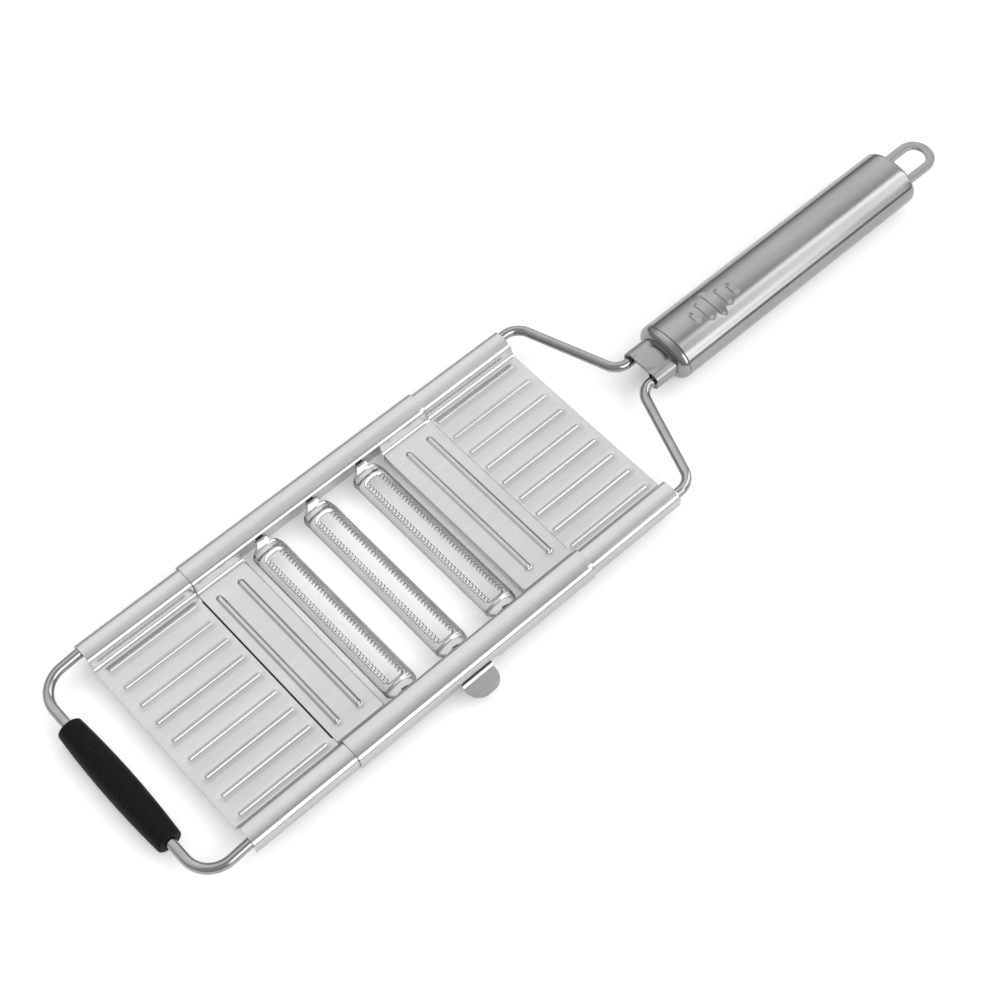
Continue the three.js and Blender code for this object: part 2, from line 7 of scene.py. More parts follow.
import bpy
import numpy as np
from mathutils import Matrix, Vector


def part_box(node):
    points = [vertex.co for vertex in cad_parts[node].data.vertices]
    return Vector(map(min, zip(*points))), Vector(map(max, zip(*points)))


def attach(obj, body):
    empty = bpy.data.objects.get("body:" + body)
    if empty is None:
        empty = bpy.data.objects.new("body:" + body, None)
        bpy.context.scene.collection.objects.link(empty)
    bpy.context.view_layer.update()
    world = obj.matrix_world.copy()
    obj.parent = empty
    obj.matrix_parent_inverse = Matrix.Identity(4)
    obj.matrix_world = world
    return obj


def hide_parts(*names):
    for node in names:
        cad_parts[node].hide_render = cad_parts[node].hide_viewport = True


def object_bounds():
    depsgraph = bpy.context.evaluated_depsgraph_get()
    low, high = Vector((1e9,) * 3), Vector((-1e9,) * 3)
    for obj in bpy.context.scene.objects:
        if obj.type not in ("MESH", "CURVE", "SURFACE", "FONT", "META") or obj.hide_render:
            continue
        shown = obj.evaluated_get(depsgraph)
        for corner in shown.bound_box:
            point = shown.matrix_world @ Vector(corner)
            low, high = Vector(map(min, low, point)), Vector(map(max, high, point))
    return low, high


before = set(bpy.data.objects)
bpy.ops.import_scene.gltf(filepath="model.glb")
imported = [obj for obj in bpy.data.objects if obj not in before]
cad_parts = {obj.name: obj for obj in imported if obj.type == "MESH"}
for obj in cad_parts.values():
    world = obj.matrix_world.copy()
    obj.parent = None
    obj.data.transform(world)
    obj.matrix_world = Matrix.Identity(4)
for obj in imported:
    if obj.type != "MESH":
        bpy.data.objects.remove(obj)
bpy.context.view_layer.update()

MM = 0.001
CAD_SHEET = 0.8  # sheet thickness in the frame
SHEET = 0.5  # sheet thickness seen at the rims
BLADE_SHEET = 0.34
CUT_EDGE = 0.12  # width of the broken edge on cut sheet
QUARTER_TURN = math.pi / 2
tray_lo, tray_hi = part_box("front_tray")
ORIGIN = Vector(((tray_lo.x + tray_hi.x) / 2, tray_lo.y, tray_lo.z + CAD_SHEET / 2 * MM))

BLADE_YS = {"front": 75.2, "middle": 98.7, "rear": 122.2}
PIVOT_Z = 3.0
WIRE_Z = 3.0


def add_object(name, data):
    """A new object that shows data, linked into the scene."""
    item = bpy.data.objects.new(name, data)
    bpy.context.scene.collection.objects.link(item)
    return item


def aim(item, direction):
    """Turns a camera or a lamp to look along a direction."""
    item.rotation_mode = "QUATERNION"
    item.rotation_quaternion = direction.to_track_quat("-Z", "Y")


# ---------------- camera

AZIMUTH = math.radians(47.5)
ELEVATION = math.radians(59.0)
CAMERA_DISTANCE = 0.735
CAMERA_LENS = 71.6  # millimetres, on a sensor 36 wide
CENTRE_SHIFT = (-0.0235, -0.0205)  # metres right and up in the picture, to centre the slicer's outline


def add_camera():
    """The camera looks down at the slicer from its front right."""
    lo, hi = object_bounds()
    target = (lo + hi) / 2
    level = math.cos(ELEVATION)
    back = Vector((math.sin(AZIMUTH) * level, -math.cos(AZIMUTH) * level, math.sin(ELEVATION)))
    data = bpy.data.cameras.new("camera")
    data.lens = CAMERA_LENS
    data.sensor_width = 36
    data.clip_start = 0.01
    camera = add_object("camera", data)
    right = Vector((math.cos(AZIMUTH), math.sin(AZIMUTH), 0))
    target += right * CENTRE_SHIFT[0] + back.cross(right) * CENTRE_SHIFT[1]
    camera.location = target + back * CAMERA_DISTANCE
    aim(camera, -back)
    bpy.context.scene.camera = camera


add_camera()


# ---------------- material nodes


def feed(tree, node, inputs):
    """Gives each named input a value, or a link from another node's output."""
    for name, value in inputs.items():
        if isinstance(value, bpy.types.NodeSocket):
            tree.links.new(value, node.inputs[name])
        else:
            node.inputs[name].default_value = value


def add_node(tree, kind, inputs):
    """A new node of a kind, with its inputs fed."""
    node = tree.nodes.new(kind)
    feed(tree, node, inputs)
    return node


def new_material(name):
    """An empty material with one Principled shader, as (material, node tree, shader)."""
    material = bpy.data.materials.new(name)
    material.use_nodes = True
    tree = material.node_tree
    tree.nodes.clear()
    shader = tree.nodes.new("ShaderNodeBsdfPrincipled")
    add_node(tree, "ShaderNodeOutputMaterial", {"Surface": shader.outputs["BSDF"]})
    return material, tree, shader


def object_place(tree):
    """The place on the object, in metres."""
    return tree.nodes.new("ShaderNodeTexCoord").outputs["Object"]


def stretched_noise(tree, scale, detail=4.0, roughness=0.55, distortion=0.0):
    """A noise value whose frequency along each object axis is scale, in waves per metre."""
    mapping = add_node(tree, "ShaderNodeMapping", {"Scale": scale, "Vector": object_place(tree)})
    inputs = {
        "Vector": mapping.outputs["Vector"],
        "Scale": 1.0,
        "Detail": detail,
        "Roughness": roughness,
        "Distortion": distortion,
    }
    return add_node(tree, "ShaderNodeTexNoise", inputs).outputs["Fac"]


def remap(tree, value, from_lo, from_hi, to_lo, to_hi):
    """The value carried from one range to another, and held at its ends."""
    ends = {"From Min": from_lo, "From Max": from_hi, "To Min": to_lo, "To Max": to_hi}
    return add_node(tree, "ShaderNodeMapRange", {"Value": value, **ends}).outputs["Result"]


def math_node(tree, operation, a, b):
    """A maths node on two values, each a socket or a number."""
    node = add_node(tree, "ShaderNodeMath", {0: a, 1: b})
    node.operation = operation
    return node.outputs["Value"]


def bump(tree, height, distance, previous=None):
    """A surface relief whose full height is distance metres, laid over a previous one."""
    inputs = {"Strength": 1.0, "Distance": distance, "Height": height}
    if previous:
        inputs["Normal"] = previous
    return add_node(tree, "ShaderNodeBump", inputs).outputs["Normal"]


def mix_colors(tree, factor, dark, light):
    """A colour between dark and light. The mix node's colour sockets are its inputs 6 and 7."""
    node = add_node(tree, "ShaderNodeMix", {0: factor, 6: (*dark, 1.0), 7: (*light, 1.0)})
    node.data_type = "RGBA"
    return node.outputs[2]


def blend(tree, first, second, share):
    """Two values added, the first one weighted by share and the second by the rest."""
    first = math_node(tree, "MULTIPLY", first, share)
    return math_node(tree, "ADD", first, math_node(tree, "MULTIPLY", second, 1 - share))


# Noise frequencies along each axis, in waves per metre.
CLOUDS = (120, 18, 120)  # slow streaks of the rolled sheet
SCUFFS = (900, 260, 900)
EVEN_GRAIN = (900, 900, 900)
BRUSHED_LENGTHWISE = (2600, 90, 2600)
BRUSHED_CROSSWISE = (120, 2600, 2600)
TURNED_GRAIN = (45, 3600, 45)  # fine rings round the handle
SLOW_WAVE = (14, 5, 14)
HANDLE_WAVE = (60, 14, 60)
NOISE_LO, NOISE_HI = 0.3, 0.7  # nearly all of a noise lies between these


def steel(name, dark, light, rough, grain, grain_depth, wave=SLOW_WAVE, wave_depth=2e-5):
    """Stainless steel: grain is the brushing's frequency on each axis, wave the sheet's slow unevenness."""
    material, tree, shader = new_material(name)
    fine = stretched_noise(tree, grain, 5.0, 0.65)
    clouds = stretched_noise(tree, CLOUDS, 4.0, 0.6)
    scuffs = stretched_noise(tree, SCUFFS, 3.0, 0.7, 0.6)
    slow = stretched_noise(tree, wave, 1.5, 0.4)
    tone = remap(tree, blend(tree, fine, clouds, 0.3), NOISE_LO, NOISE_HI, 0.0, 1.0)
    inputs = {
        "Metallic": 1.0,
        "Base Color": mix_colors(tree, tone, dark, light),
        "Roughness": remap(tree, blend(tree, clouds, scuffs, 0.6), NOISE_LO, NOISE_HI, *rough),
        "Normal": bump(tree, fine, grain_depth, bump(tree, slow, wave_depth)),
    }
    feed(tree, shader, inputs)
    return material


RUBBER_BLACK = (0.0025, 0.0025, 0.0026)
DUST = (0.16, 0.16, 0.16)


def rubber(name):
    """Near-black moulded rubber with fine pits and a few pale dust specks."""
    material, tree, shader = new_material(name)
    cells = add_node(tree, "ShaderNodeTexVoronoi", {"Scale": 900.0, "Vector": object_place(tree)})
    dots = remap(tree, cells.outputs["Distance"], 0.0, 0.16, 1.0, 0.0)  # one small dot in each cell
    picked = remap(tree, stretched_noise(tree, (700, 700, 700), 1.0), 0.58, 0.62, 0.0, 1.0)
    specks = math_node(tree, "MULTIPLY", dots, picked)
    pits = stretched_noise(tree, (4500, 4500, 4500), 3.0, 0.7)
    inputs = {
        "Base Color": mix_colors(tree, specks, RUBBER_BLACK, DUST),
        "Roughness": remap(tree, pits, NOISE_LO, NOISE_HI, 0.5, 0.66),
        "Specular IOR Level": 0.14,
        "Normal": bump(tree, pits, 4e-5),
    }
    feed(tree, shader, inputs)
    return material


FLOOR_GLOW = 0.2  # the backdrop glows a little, so that it stays white under the slicer


def floor_paper():
    """White backdrop paper with faint fibres."""
    material, tree, shader = new_material("floor_paper")
    tone = stretched_noise(tree, (3, 3, 3), 2.0)
    fibres = stretched_noise(tree, (1500, 1500, 1500), 3.0)
    inputs = {
        "Base Color": mix_colors(tree, tone, (0.9, 0.9, 0.9), (0.92, 0.92, 0.92)),
        "Roughness": remap(tree, fibres, NOISE_LO, NOISE_HI, 0.7, 0.8),
        "Normal": bump(tree, fibres, 2e-5),
        "Emission Color": (1, 1, 1, 1),
        "Emission Strength": FLOOR_GLOW,
    }
    feed(tree, shader, inputs)
    return material


# Name, dark and light colour, least and most roughness, the brushing and its depth.
SHEET_STEEL = steel(
    "sheet_steel", (0.45, 0.45, 0.453), (0.54, 0.54, 0.54), (0.18, 0.28), BRUSHED_LENGTHWISE, 4e-7
)
BLADE_STEEL = steel(
    "blade_steel", (0.47, 0.47, 0.473), (0.56, 0.56, 0.56), (0.2, 0.3), BRUSHED_CROSSWISE, 3e-7
)
WIRE_STEEL = steel("wire_steel", (0.28, 0.28, 0.283), (0.37, 0.37, 0.37), (0.10, 0.18), EVEN_GRAIN, 8e-7)
HANDLE_GREYS = (0.26, 0.26, 0.26), (0.345, 0.345, 0.344)
HANDLE_STEEL = steel("handle_steel", *HANDLE_GREYS, (0.14, 0.23), TURNED_GRAIN, 4.5e-6, HANDLE_WAVE, 6e-5)
LOOP_STEEL = steel("loop_steel", (0.27, 0.27, 0.27), (0.34, 0.34, 0.34), (0.22, 0.32), EVEN_GRAIN, 8e-7)
GRIP_RUBBER = rubber("grip_rubber")


# ---------------- mesh helpers


def make_object(name, vertices, faces, material, slot, replaces=(), body="frame", crease=35.0):
    """A smooth-shaded piece from millimetre vertices in the slicer's frame, riding on a CAD body."""
    mesh = bpy.data.meshes.new(name)
    mesh.from_pydata([Vector(v) * MM + ORIGIN for v in vertices], [], faces)
    mesh.validate()
    mesh.shade_smooth()
    mesh.set_sharp_from_angle(angle=math.radians(crease))
    mesh.materials.append(material)
    piece = add_object(name, mesh)
    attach(piece, body)
    if replaces:
        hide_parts(*replaces)
    return piece


def solidify(piece, thickness=SHEET, edge=CUT_EDGE):
    """Gives a surface its sheet thickness, half to each side, and breaks the cut edges."""
    shell = piece.modifiers.new("thickness", "SOLIDIFY")
    shell.thickness = thickness * MM
    shell.offset = 0.0
    shell.use_even_offset = True
    if edge:
        bevel = piece.modifiers.new("edges", "BEVEL")
        bevel.width = edge * MM
        bevel.segments = 2
        bevel.limit_method = "ANGLE"
        bevel.angle_limit = math.radians(55)


NEARLY_STRAIGHT = 1.565  # radians, half the angle at a corner


def rounded_path(corners, arc_steps=8):
    """Points along straight runs between (*place, radius) corners, with arcs where there is a radius."""
    places = [np.array(c[:-1], float) for c in corners]
    path = [places[0]]
    for before, place, after, corner in zip(places, places[1:], places[2:], corners[1:]):
        radius = corner[-1]
        back = (before - place) / np.linalg.norm(before - place)
        onward = (after - place) / np.linalg.norm(after - place)
        half = math.acos(max(-1.0, min(1.0, float(back @ onward)))) / 2
        if not radius or half > NEARLY_STRAIGHT:
            path.append(place)
            continue
        centre = place + (back + onward) / np.linalg.norm(back + onward) * radius / math.sin(half)
        start = place + back * radius / math.tan(half) - centre
        for k in range(arc_steps + 1):
            angle = (math.pi - 2 * half) * k / arc_steps
            path.append(centre + start * math.cos(angle) - back * radius * math.sin(angle))
    path.append(places[-1])
    return [tuple(p) for p in path]


def subdivided(path, longest):
    """A path with its runs cut into steps no longer than longest."""
    fine = [path[0]]
    for point in path[1:]:
        begin = fine[-1]
        steps = max(1, math.ceil(math.dist(begin, point) / longest))
        for k in range(steps):
            share = (k + 1) / steps
            fine.append(tuple(a + (b - a) * share for a, b in zip(begin, point)))
    return fine


def grid_faces(rows, columns, keep=lambda row, column: True, closed=False):
    """Quads of a vertex grid stored row by row; closed joins the last column to the first."""
    faces = []
    for row in range(rows - 1):
        for column in range(columns if closed else columns - 1):
            if keep(row, column):
                after = (column + 1) % columns
                low = row * columns
                high = low + columns
                faces.append((low + column, low + after, high + after, high + column))
    return faces


def flipped(faces):
    """The faces turned to look the other way."""
    return [tuple(reversed(f)) for f in faces]


def merge_lines(*groups, least=0.04):
    """One rising list of grid positions, without near repeats."""
    lines = sorted(v for group in groups for v in group)
    kept = [lines[0]]
    for value in lines[1:]:
        if value - kept[-1] > least:
            kept.append(value)
    return kept


def spread(start, end, count):
    """The ends of count equal steps from start to end."""
    return [start + (end - start) * i / count for i in range(count + 1)]


def smoothstep(t):
    """0 below 0, 1 above 1, and a smooth climb between them."""
    t = min(max(t, 0.0), 1.0)
    return t * t * (3 - 2 * t)


# ---------------- trays and centre frame

FLOOR_HALF = 39.8
RAIL_INNER = 41.2
RAIL_CROWN = 45.6
SKIRT_X = 50.1
RAIL_TOP = 5.9
NEST = 0.62  # the centre frame's sheet lies this much outside the trays' sheet
FILLET_REACH = 2.0  # the floor's flat part ends this far from its corner with the rail
RIB_MARGIN = 0.6  # no rib reaches nearer than this to the floor's corner

RIB_PITCH = 9.0
RIB_COUNT = 9
RIB_END = 1.45  # from a rib's end to the middle of its rounded end
CREST_HEIGHT, CREST_HALF = 0.34, 0.72
SWELL_HEIGHT, SWELL_HALF = 0.26, 2.9
RIB_STEEP, RIB_GENTLE = 1.5, 0.85  # a tray's rib is narrower to the left of its crest than to the right
CREST_OFFSETS = (0.06, 0.15, 0.24, 0.33, 0.42, 0.51, 0.6, 0.68)
SWELL_OFFSETS = (1.0, 1.5, 2.0, 2.5, 2.95)
RIB_OFFSETS = sorted(side * v for side in (-1, 1) for v in CREST_OFFSETS + SWELL_OFFSETS)
CROSS_WIDEN, CROSS_HEIGHTEN = 2.1, 2.7  # the centre frame's ribs are wider and higher than the trays'
CROSS_HALF_OFFSETS = [CROSS_WIDEN * c for c in CREST_OFFSETS] + [1.8, 2.3, 2.95]
CROSS_OFFSETS = sorted(side * v for side in (-1, 1) for v in CROSS_HALF_OFFSETS)
JOGGLE_DEPTH, JOGGLE_RUN = 0.3, 0.7  # each tray steps down where it goes under the centre frame
JOGGLE_HALF = 35.2
JOGGLE_SHOW = 0.05  # how much of the lowered floor shows beside the centre frame's edge
FRAME_FRONT, FRAME_REAR = 45.0, 154.6


def rib_height(distance, widen=1.0, heighten=1.0):
    """Height of a rib at a distance from its middle line: a narrow crest on a wide soft swell."""
    crest = CREST_HEIGHT * heighten * (1 - smoothstep(distance / (CREST_HALF * widen)))
    return crest + SWELL_HEIGHT * (1 - smoothstep(distance / SWELL_HALF))


def rail_profile(grow, skirt_bottom):
    """The right rail's section from the floor's corner out to the skirt's lower edge."""
    return rounded_path(
        [
            (FLOOR_HALF - grow - FILLET_REACH, grow, 0),
            (FLOOR_HALF - grow, grow, 1.9),
            (RAIL_INNER - grow, RAIL_TOP - 0.7 + grow, 2.0),
            (RAIL_CROWN, RAIL_TOP + grow, 14),
            (SKIRT_X + grow, RAIL_TOP - 0.6 + grow, 2.7),
            (SKIRT_X + grow, skirt_bottom, 0),
        ],
        10,
    )


def folded_section(grow, skirt_bottom, floor_lines):
    """Whole section from the left skirt to the right one, as (x, z) points."""
    right = rail_profile(grow, skirt_bottom)
    left = [(-x, z) for x, z in reversed(right)]
    edge = FLOOR_HALF - grow - FILLET_REACH
    middle = [(x, grow) for x in floor_lines if abs(x) < edge - 0.05]
    return left + middle + right


def joggle(x, y):
    """How far a tray's floor steps down under the centre frame, at its front or its rear edge."""
    under = smoothstep((y - FRAME_FRONT + JOGGLE_RUN + JOGGLE_SHOW) / JOGGLE_RUN)
    under *= smoothstep((FRAME_REAR + JOGGLE_RUN + JOGGLE_SHOW - y) / JOGGLE_RUN)
    return -JOGGLE_DEPTH * under * (1 - smoothstep(abs(x) - JOGGLE_HALF))


def pressed_grid(rows, section, floor_half, relief):
    """Vertices of a folded section repeated along y, its floor raised by relief(x, y)."""
    return [(x, y, z + (relief(x, y) if abs(x) < floor_half else 0.0)) for y in rows for x, z in section]


def tray_rows(start, end, first, last, around_ribs):
    """A tray's grid positions along y, closer at the ribs' ends and at the step under the centre frame."""
    rows = merge_lines(
        [start, end, start + 0.6, end - 0.6],
        [first + o for o in RIB_OFFSETS],
        [last + o for o in RIB_OFFSETS],
        spread(first + 3, last - 3, 6),
        spread(*around_ribs, 12),
        [FRAME_FRONT - JOGGLE_SHOW - JOGGLE_RUN * k / 5 for k in range(6)],
        [FRAME_REAR + JOGGLE_SHOW + JOGGLE_RUN * k / 5 for k in range(6)],
        least=0.12,
    )
    return [y for y in rows if start <= y <= end]


def ribbed_tray(name, start, end, rib_start, rib_end):
    """A pressed tray from start to end along y, its ribs from rib_start to rib_end."""
    centres = [(i - (RIB_COUNT - 1) / 2) * RIB_PITCH for i in range(RIB_COUNT)]
    floor_lines = merge_lines(
        [c + o for c in centres for o in RIB_OFFSETS],
        [side * (JOGGLE_HALF + k / 4) for side in (-1, 1) for k in range(5)],
        least=0.05,
    )
    section = folded_section(0, 0, floor_lines)
    first, last = rib_start + RIB_END, rib_end - RIB_END
    rows = tray_rows(start, end, first, last, (min(start, rib_start), max(end, rib_end)))

    def relief(x, y):
        """The nearest rib's height, less the step down."""
        centre = min(centres, key=lambda c: abs(c - x))
        along = y - min(max(y, first), last)
        across = (x - centre) * (RIB_STEEP if x < centre else RIB_GENTLE)
        return rib_height(math.hypot(across, along)) + joggle(x, y)

    vertices = pressed_grid(rows, section, FLOOR_HALF - RIB_MARGIN, relief)
    faces = grid_faces(len(rows), len(section))
    piece = make_object(f"{name}_sheet", vertices, faces, SHEET_STEEL, "sheet_steel", [name])
    solidify(piece)


CROSS_RIBS = (49.8, 59.5, 138.9, 148.9)
CROSS_RIB_HALF = 33.3
CROSS_REACH = CROSS_RIB_HALF - RIB_END
PLATE_HALF = FLOOR_HALF - NEST - 1.0
FRAME_SKIRT_BOTTOM = -0.4
WINDOW_FRONT, WINDOW_REAR = 66.0, 131.6
WINDOW_WALL_TOP = 5.3  # the rails' inner walls are cut away up to here beside the window
LIP_RADIUS = 0.7
FRONT_EDGE, REAR_EDGE = WINDOW_FRONT - LIP_RADIUS, WINDOW_REAR + LIP_RADIUS
FRONT_LIP_BOTTOM, REAR_LIP_BOTTOM = -1.0, -2.1
SLOT_FRONT, SLOT_REAR, SLOT_TOP = 89.9, 107.7, 1.4
SLOT_CORNER = 1.6
SLOT_INSETS = (0.2, 0.5, 0.9, SLOT_CORNER)
SLOT_ROWS = (SLOT_TOP, 1.15, 0.9, 0.55, 0.1)  # the skirt's grid heights at the slot


def slot_height(y):
    """Height of the thumb tab's slot at y, with rounded corners; beside the slot it is below the skirt."""
    inset = min(y - SLOT_FRONT, SLOT_REAR - y)
    if inset < 0:
        return -9.0
    off = max(0.0, SLOT_CORNER - inset)
    return SLOT_TOP - (SLOT_CORNER - math.sqrt(SLOT_CORNER**2 - off**2))


def frame_section():
    """The centre frame's section, with more points in the right skirt, where the tab's slot is cut."""
    floor_lines = merge_lines(
        spread(-CROSS_REACH, CROSS_REACH, 24),
        [CROSS_REACH + o for o in CROSS_OFFSETS],
        [-CROSS_REACH + o for o in CROSS_OFFSETS],
        [-37.0, -36.0, 36.0, 37.0],
    )
    section = folded_section(NEST, FRAME_SKIRT_BOTTOM, floor_lines)
    skirt_x = section[-1][0]
    section[-1:] = [(skirt_x, z) for z in (*SLOT_ROWS, FRAME_SKIRT_BOTTOM)]
    return section


def frame_rows():
    """The centre frame's grid positions along y, closer at its ribs and at the slot's corners."""
    return merge_lines(
        [FRAME_FRONT, FRAME_REAR, FRONT_EDGE, REAR_EDGE, WINDOW_FRONT, WINDOW_REAR, SLOT_FRONT, SLOT_REAR],
        [c + o for c in CROSS_RIBS for o in CROSS_OFFSETS],
        spread(WINDOW_FRONT, WINDOW_REAR, 30),
        spread(FRAME_FRONT, FRAME_REAR, 40),
        [SLOT_FRONT + v for v in SLOT_INSETS],
        [SLOT_REAR - v for v in SLOT_INSETS],
        least=0.12,
    )


def window_lip(vertices, faces, above, y, sign, bottom):
    """Bends the plate's edge at the window down to bottom; above is its row of vertex numbers."""
    xs = [vertices[i][0] for i in above]
    drops = [(math.sin(a), 1 - math.cos(a)) for a in spread(0, QUARTER_TURN, 5)[1:]]
    lip = [(y + sign * LIP_RADIUS * s, NEST - LIP_RADIUS * d) for s, d in drops]
    lip += [(lip[-1][0], z) for z in spread(NEST - LIP_RADIUS, bottom, 3)[1:]]
    for lip_y, z in lip:
        below = list(range(len(vertices), len(vertices) + len(xs)))
        vertices += [(x, lip_y, z) for x in xs]
        for (a, b), (c, d) in zip(zip(above, above[1:]), zip(below, below[1:])):
            faces.append((a, b, d, c) if sign > 0 else (b, a, c, d))
        above = below


def centre_frame():
    """The sleeve over both trays, with two ribbed cross plates, the window and the tab's slot."""
    section = frame_section()
    rows = frame_rows()
    columns = len(section)

    def relief(x, y):
        """The nearest cross rib's height."""
        centre = min(CROSS_RIBS, key=lambda c: abs(c - y))
        along = x - min(max(x, -CROSS_REACH), CROSS_REACH)
        return rib_height(math.hypot(y - centre, along), CROSS_WIDEN, CROSS_HEIGHTEN)

    vertices = pressed_grid(rows, section, FLOOR_HALF - NEST - RIB_MARGIN, relief)

    def is_sheet(row, column):
        """Whether a cell of the grid is outside both the window and the slot."""
        y = (rows[row] + rows[row + 1]) / 2
        (x0, z0), (x1, z1) = section[column : column + 2]
        x = (x0 + x1) / 2
        if abs(x) < PLATE_HALF:
            return not FRONT_EDGE < y < REAR_EDGE
        if WINDOW_FRONT < y < WINDOW_REAR and abs(x) < RAIL_INNER and max(z0, z1) < WINDOW_WALL_TOP:
            return False
        return min(x0, x1) <= SKIRT_X or (z0 + z1) / 2 >= slot_height(y)

    faces = grid_faces(len(rows), columns, is_sheet)
    plate = [i for i, (x, z) in enumerate(section) if abs(x) < PLATE_HALF and z < NEST + 0.2]
    for edge_y, sign, bottom in ((FRONT_EDGE, 1, FRONT_LIP_BOTTOM), (REAR_EDGE, -1, REAR_LIP_BOTTOM)):
        row = min(range(len(rows)), key=lambda i: abs(rows[i] - edge_y))
        above = [row * columns + i for i in plate]
        window_lip(vertices, faces, above, rows[row], sign, bottom)
    name = "centre_frame"
    solidify(make_object(f"{name}_sheet", vertices, faces, SHEET_STEEL, "sheet_steel", [name]))


ribbed_tray("front_tray", 0.0, 62.0, 2.9, 42.7)
ribbed_tray("rear_tray", 136.0, 198.0, 155.3, 195.1)
centre_frame()


# ---------------- wire


def swept_tube(path, radius, sides):
    """A closed tube along 3-D points, turned as little as possible from ring to ring."""
    points = [Vector(p) for p in path]
    vertices = []
    side = None
    for i, point in enumerate(points):
        tangent = (points[min(i + 1, len(points) - 1)] - points[max(i - 1, 0)]).normalized()
        if side is None:
            side = tangent.cross(Vector((0, 0, 1))).normalized()
        side = (side - tangent * side.dot(tangent)).normalized()
        up = side.cross(tangent)
        for k in range(sides):
            angle = 2 * math.pi * k / sides
            vertices.append(point + side * radius * math.cos(angle) + up * radius * math.sin(angle))
    faces = grid_faces(len(points), sides, closed=True)
    last = (len(points) - 1) * sides
    faces.append(tuple(reversed(range(sides))))
    faces.append(tuple(range(last, last + sides)))
    return vertices, faces


WIRE_RADIUS = 2.0
WIRE_X = 47.3
FOOT_Y, FOOT_Z = -18.9, 0.6
NECK_WIRE_X, WIRE_END_Y = 6.1, 243.5
YOKE_OUTER_Y = 206.2
YOKE_SLOPE = 0.366


def wire_frame():
    """The bent wire: foot bar, two side runs, the yoke, and two ends inside the neck."""
    right = [
        (NECK_WIRE_X, WIRE_END_Y, WIRE_Z, 0),
        (NECK_WIRE_X, YOKE_OUTER_Y + YOKE_SLOPE * (WIRE_X - NECK_WIRE_X), WIRE_Z, 7),
        (WIRE_X, YOKE_OUTER_Y, WIRE_Z, 8),
        (WIRE_X, 0, WIRE_Z, 30),
        (WIRE_X, FOOT_Y, FOOT_Z, 11),
    ]
    left = [(-x, y, z, radius) for x, y, z, radius in reversed(right)]
    vertices, faces = swept_tube(subdivided(rounded_path(right + left, 12), 6.0), WIRE_RADIUS, 32)
    make_object("wire_bent", vertices, faces, WIRE_STEEL, "wire_steel", ["wire_frame"])


wire_frame()

GRIP_HALF_LENGTH = 28.2
GRIP_BORE = 2.25
GRIP_END_RADIUS, GRIP_BULGE = 4.8, 1.05
GRIP_SAG = 1.0  # the grip's middle lies this far below the wire's
GRIP_ROUND = 0.7
GRIP_ROUND_STEPS = 6
GRIP_SLIT = math.radians(9)  # half of the split along its underside
GRIP_STEPS = 44


def grip_stations():
    """(x, inset) places along the grip, closer where its ends are rounded."""
    ends = []
    for angle in spread(0, QUARTER_TURN, GRIP_ROUND_STEPS):
        x = -GRIP_HALF_LENGTH + GRIP_ROUND * (1 - math.cos(angle))
        ends.append((x, GRIP_ROUND * (1 - math.sin(angle))))
    straight = GRIP_HALF_LENGTH - GRIP_ROUND
    middle = [(x, 0.0) for x in spread(-straight, straight, 28)[1:-1]]
    return ends + middle + [(-x, inset) for x, inset in reversed(ends)]


def foot_grip():
    """A barrel-shaped rubber sleeve, split along its underside, with softly rounded ends."""
    stations = grip_stations()
    angles = spread(GRIP_SLIT, 2 * math.pi - GRIP_SLIT, GRIP_STEPS)
    vertices = []
    columns = 2 * len(angles)
    for x, inset in stations:
        radius = GRIP_END_RADIUS + GRIP_BULGE * (1 - (x / GRIP_HALF_LENGTH) ** 2) - inset
        for a in angles:
            z = FOOT_Z - GRIP_SAG - radius * math.cos(a)
            vertices.append((x, FOOT_Y + radius * math.sin(a), z))
        for a in reversed(angles):
            vertices.append((x, FOOT_Y + GRIP_BORE * math.sin(a), FOOT_Z - GRIP_BORE * math.cos(a)))
    faces = grid_faces(len(stations), columns, closed=True)
    last = (len(stations) - 1) * columns
    for k in range(GRIP_STEPS):
        mate = columns - 1 - k
        faces.append((k + 1, k, mate, mate - 1))
        faces.append((last + k, last + k + 1, last + mate - 1, last + mate))
    make_object("foot_grip_rubber", vertices, faces, GRIP_RUBBER, "grip_rubber", ["foot_grip"])


foot_grip()


# ---------------- blades

TOOTH_PITCH = 1.6
TEETH = 41
ROW_END = TEETH * TOOTH_PITCH / 2
BLADE_END = 38.4
BLADE_HALF = 6.5
CORNER_START = 35.4  # where the blade's corners begin to round off
CORNER_DROP = 2.0  # how much narrower the blade is at the end of its corners
NECK_HALF, NECK_RUN = 2.5, 1.3
STUB_HALF, STUB_START, STUB_END = 1.6, 40.85, 42.9
ARCH_RISE, ARCH_FALL = 1.85, 2.75
ARC_ROOT = 4.3
ARC_TIP = 2.2
# Grid positions across the solid sheet beside the slot, closer at the roots of the teeth.
FLANK = [BLADE_HALF, 6.0, 5.5, 5.05, 4.75, 4.6, 4.45, ARC_ROOT]
FLANK_SHARES = [(y - ARC_ROOT) / (BLADE_HALF - ARC_ROOT) for y in FLANK]

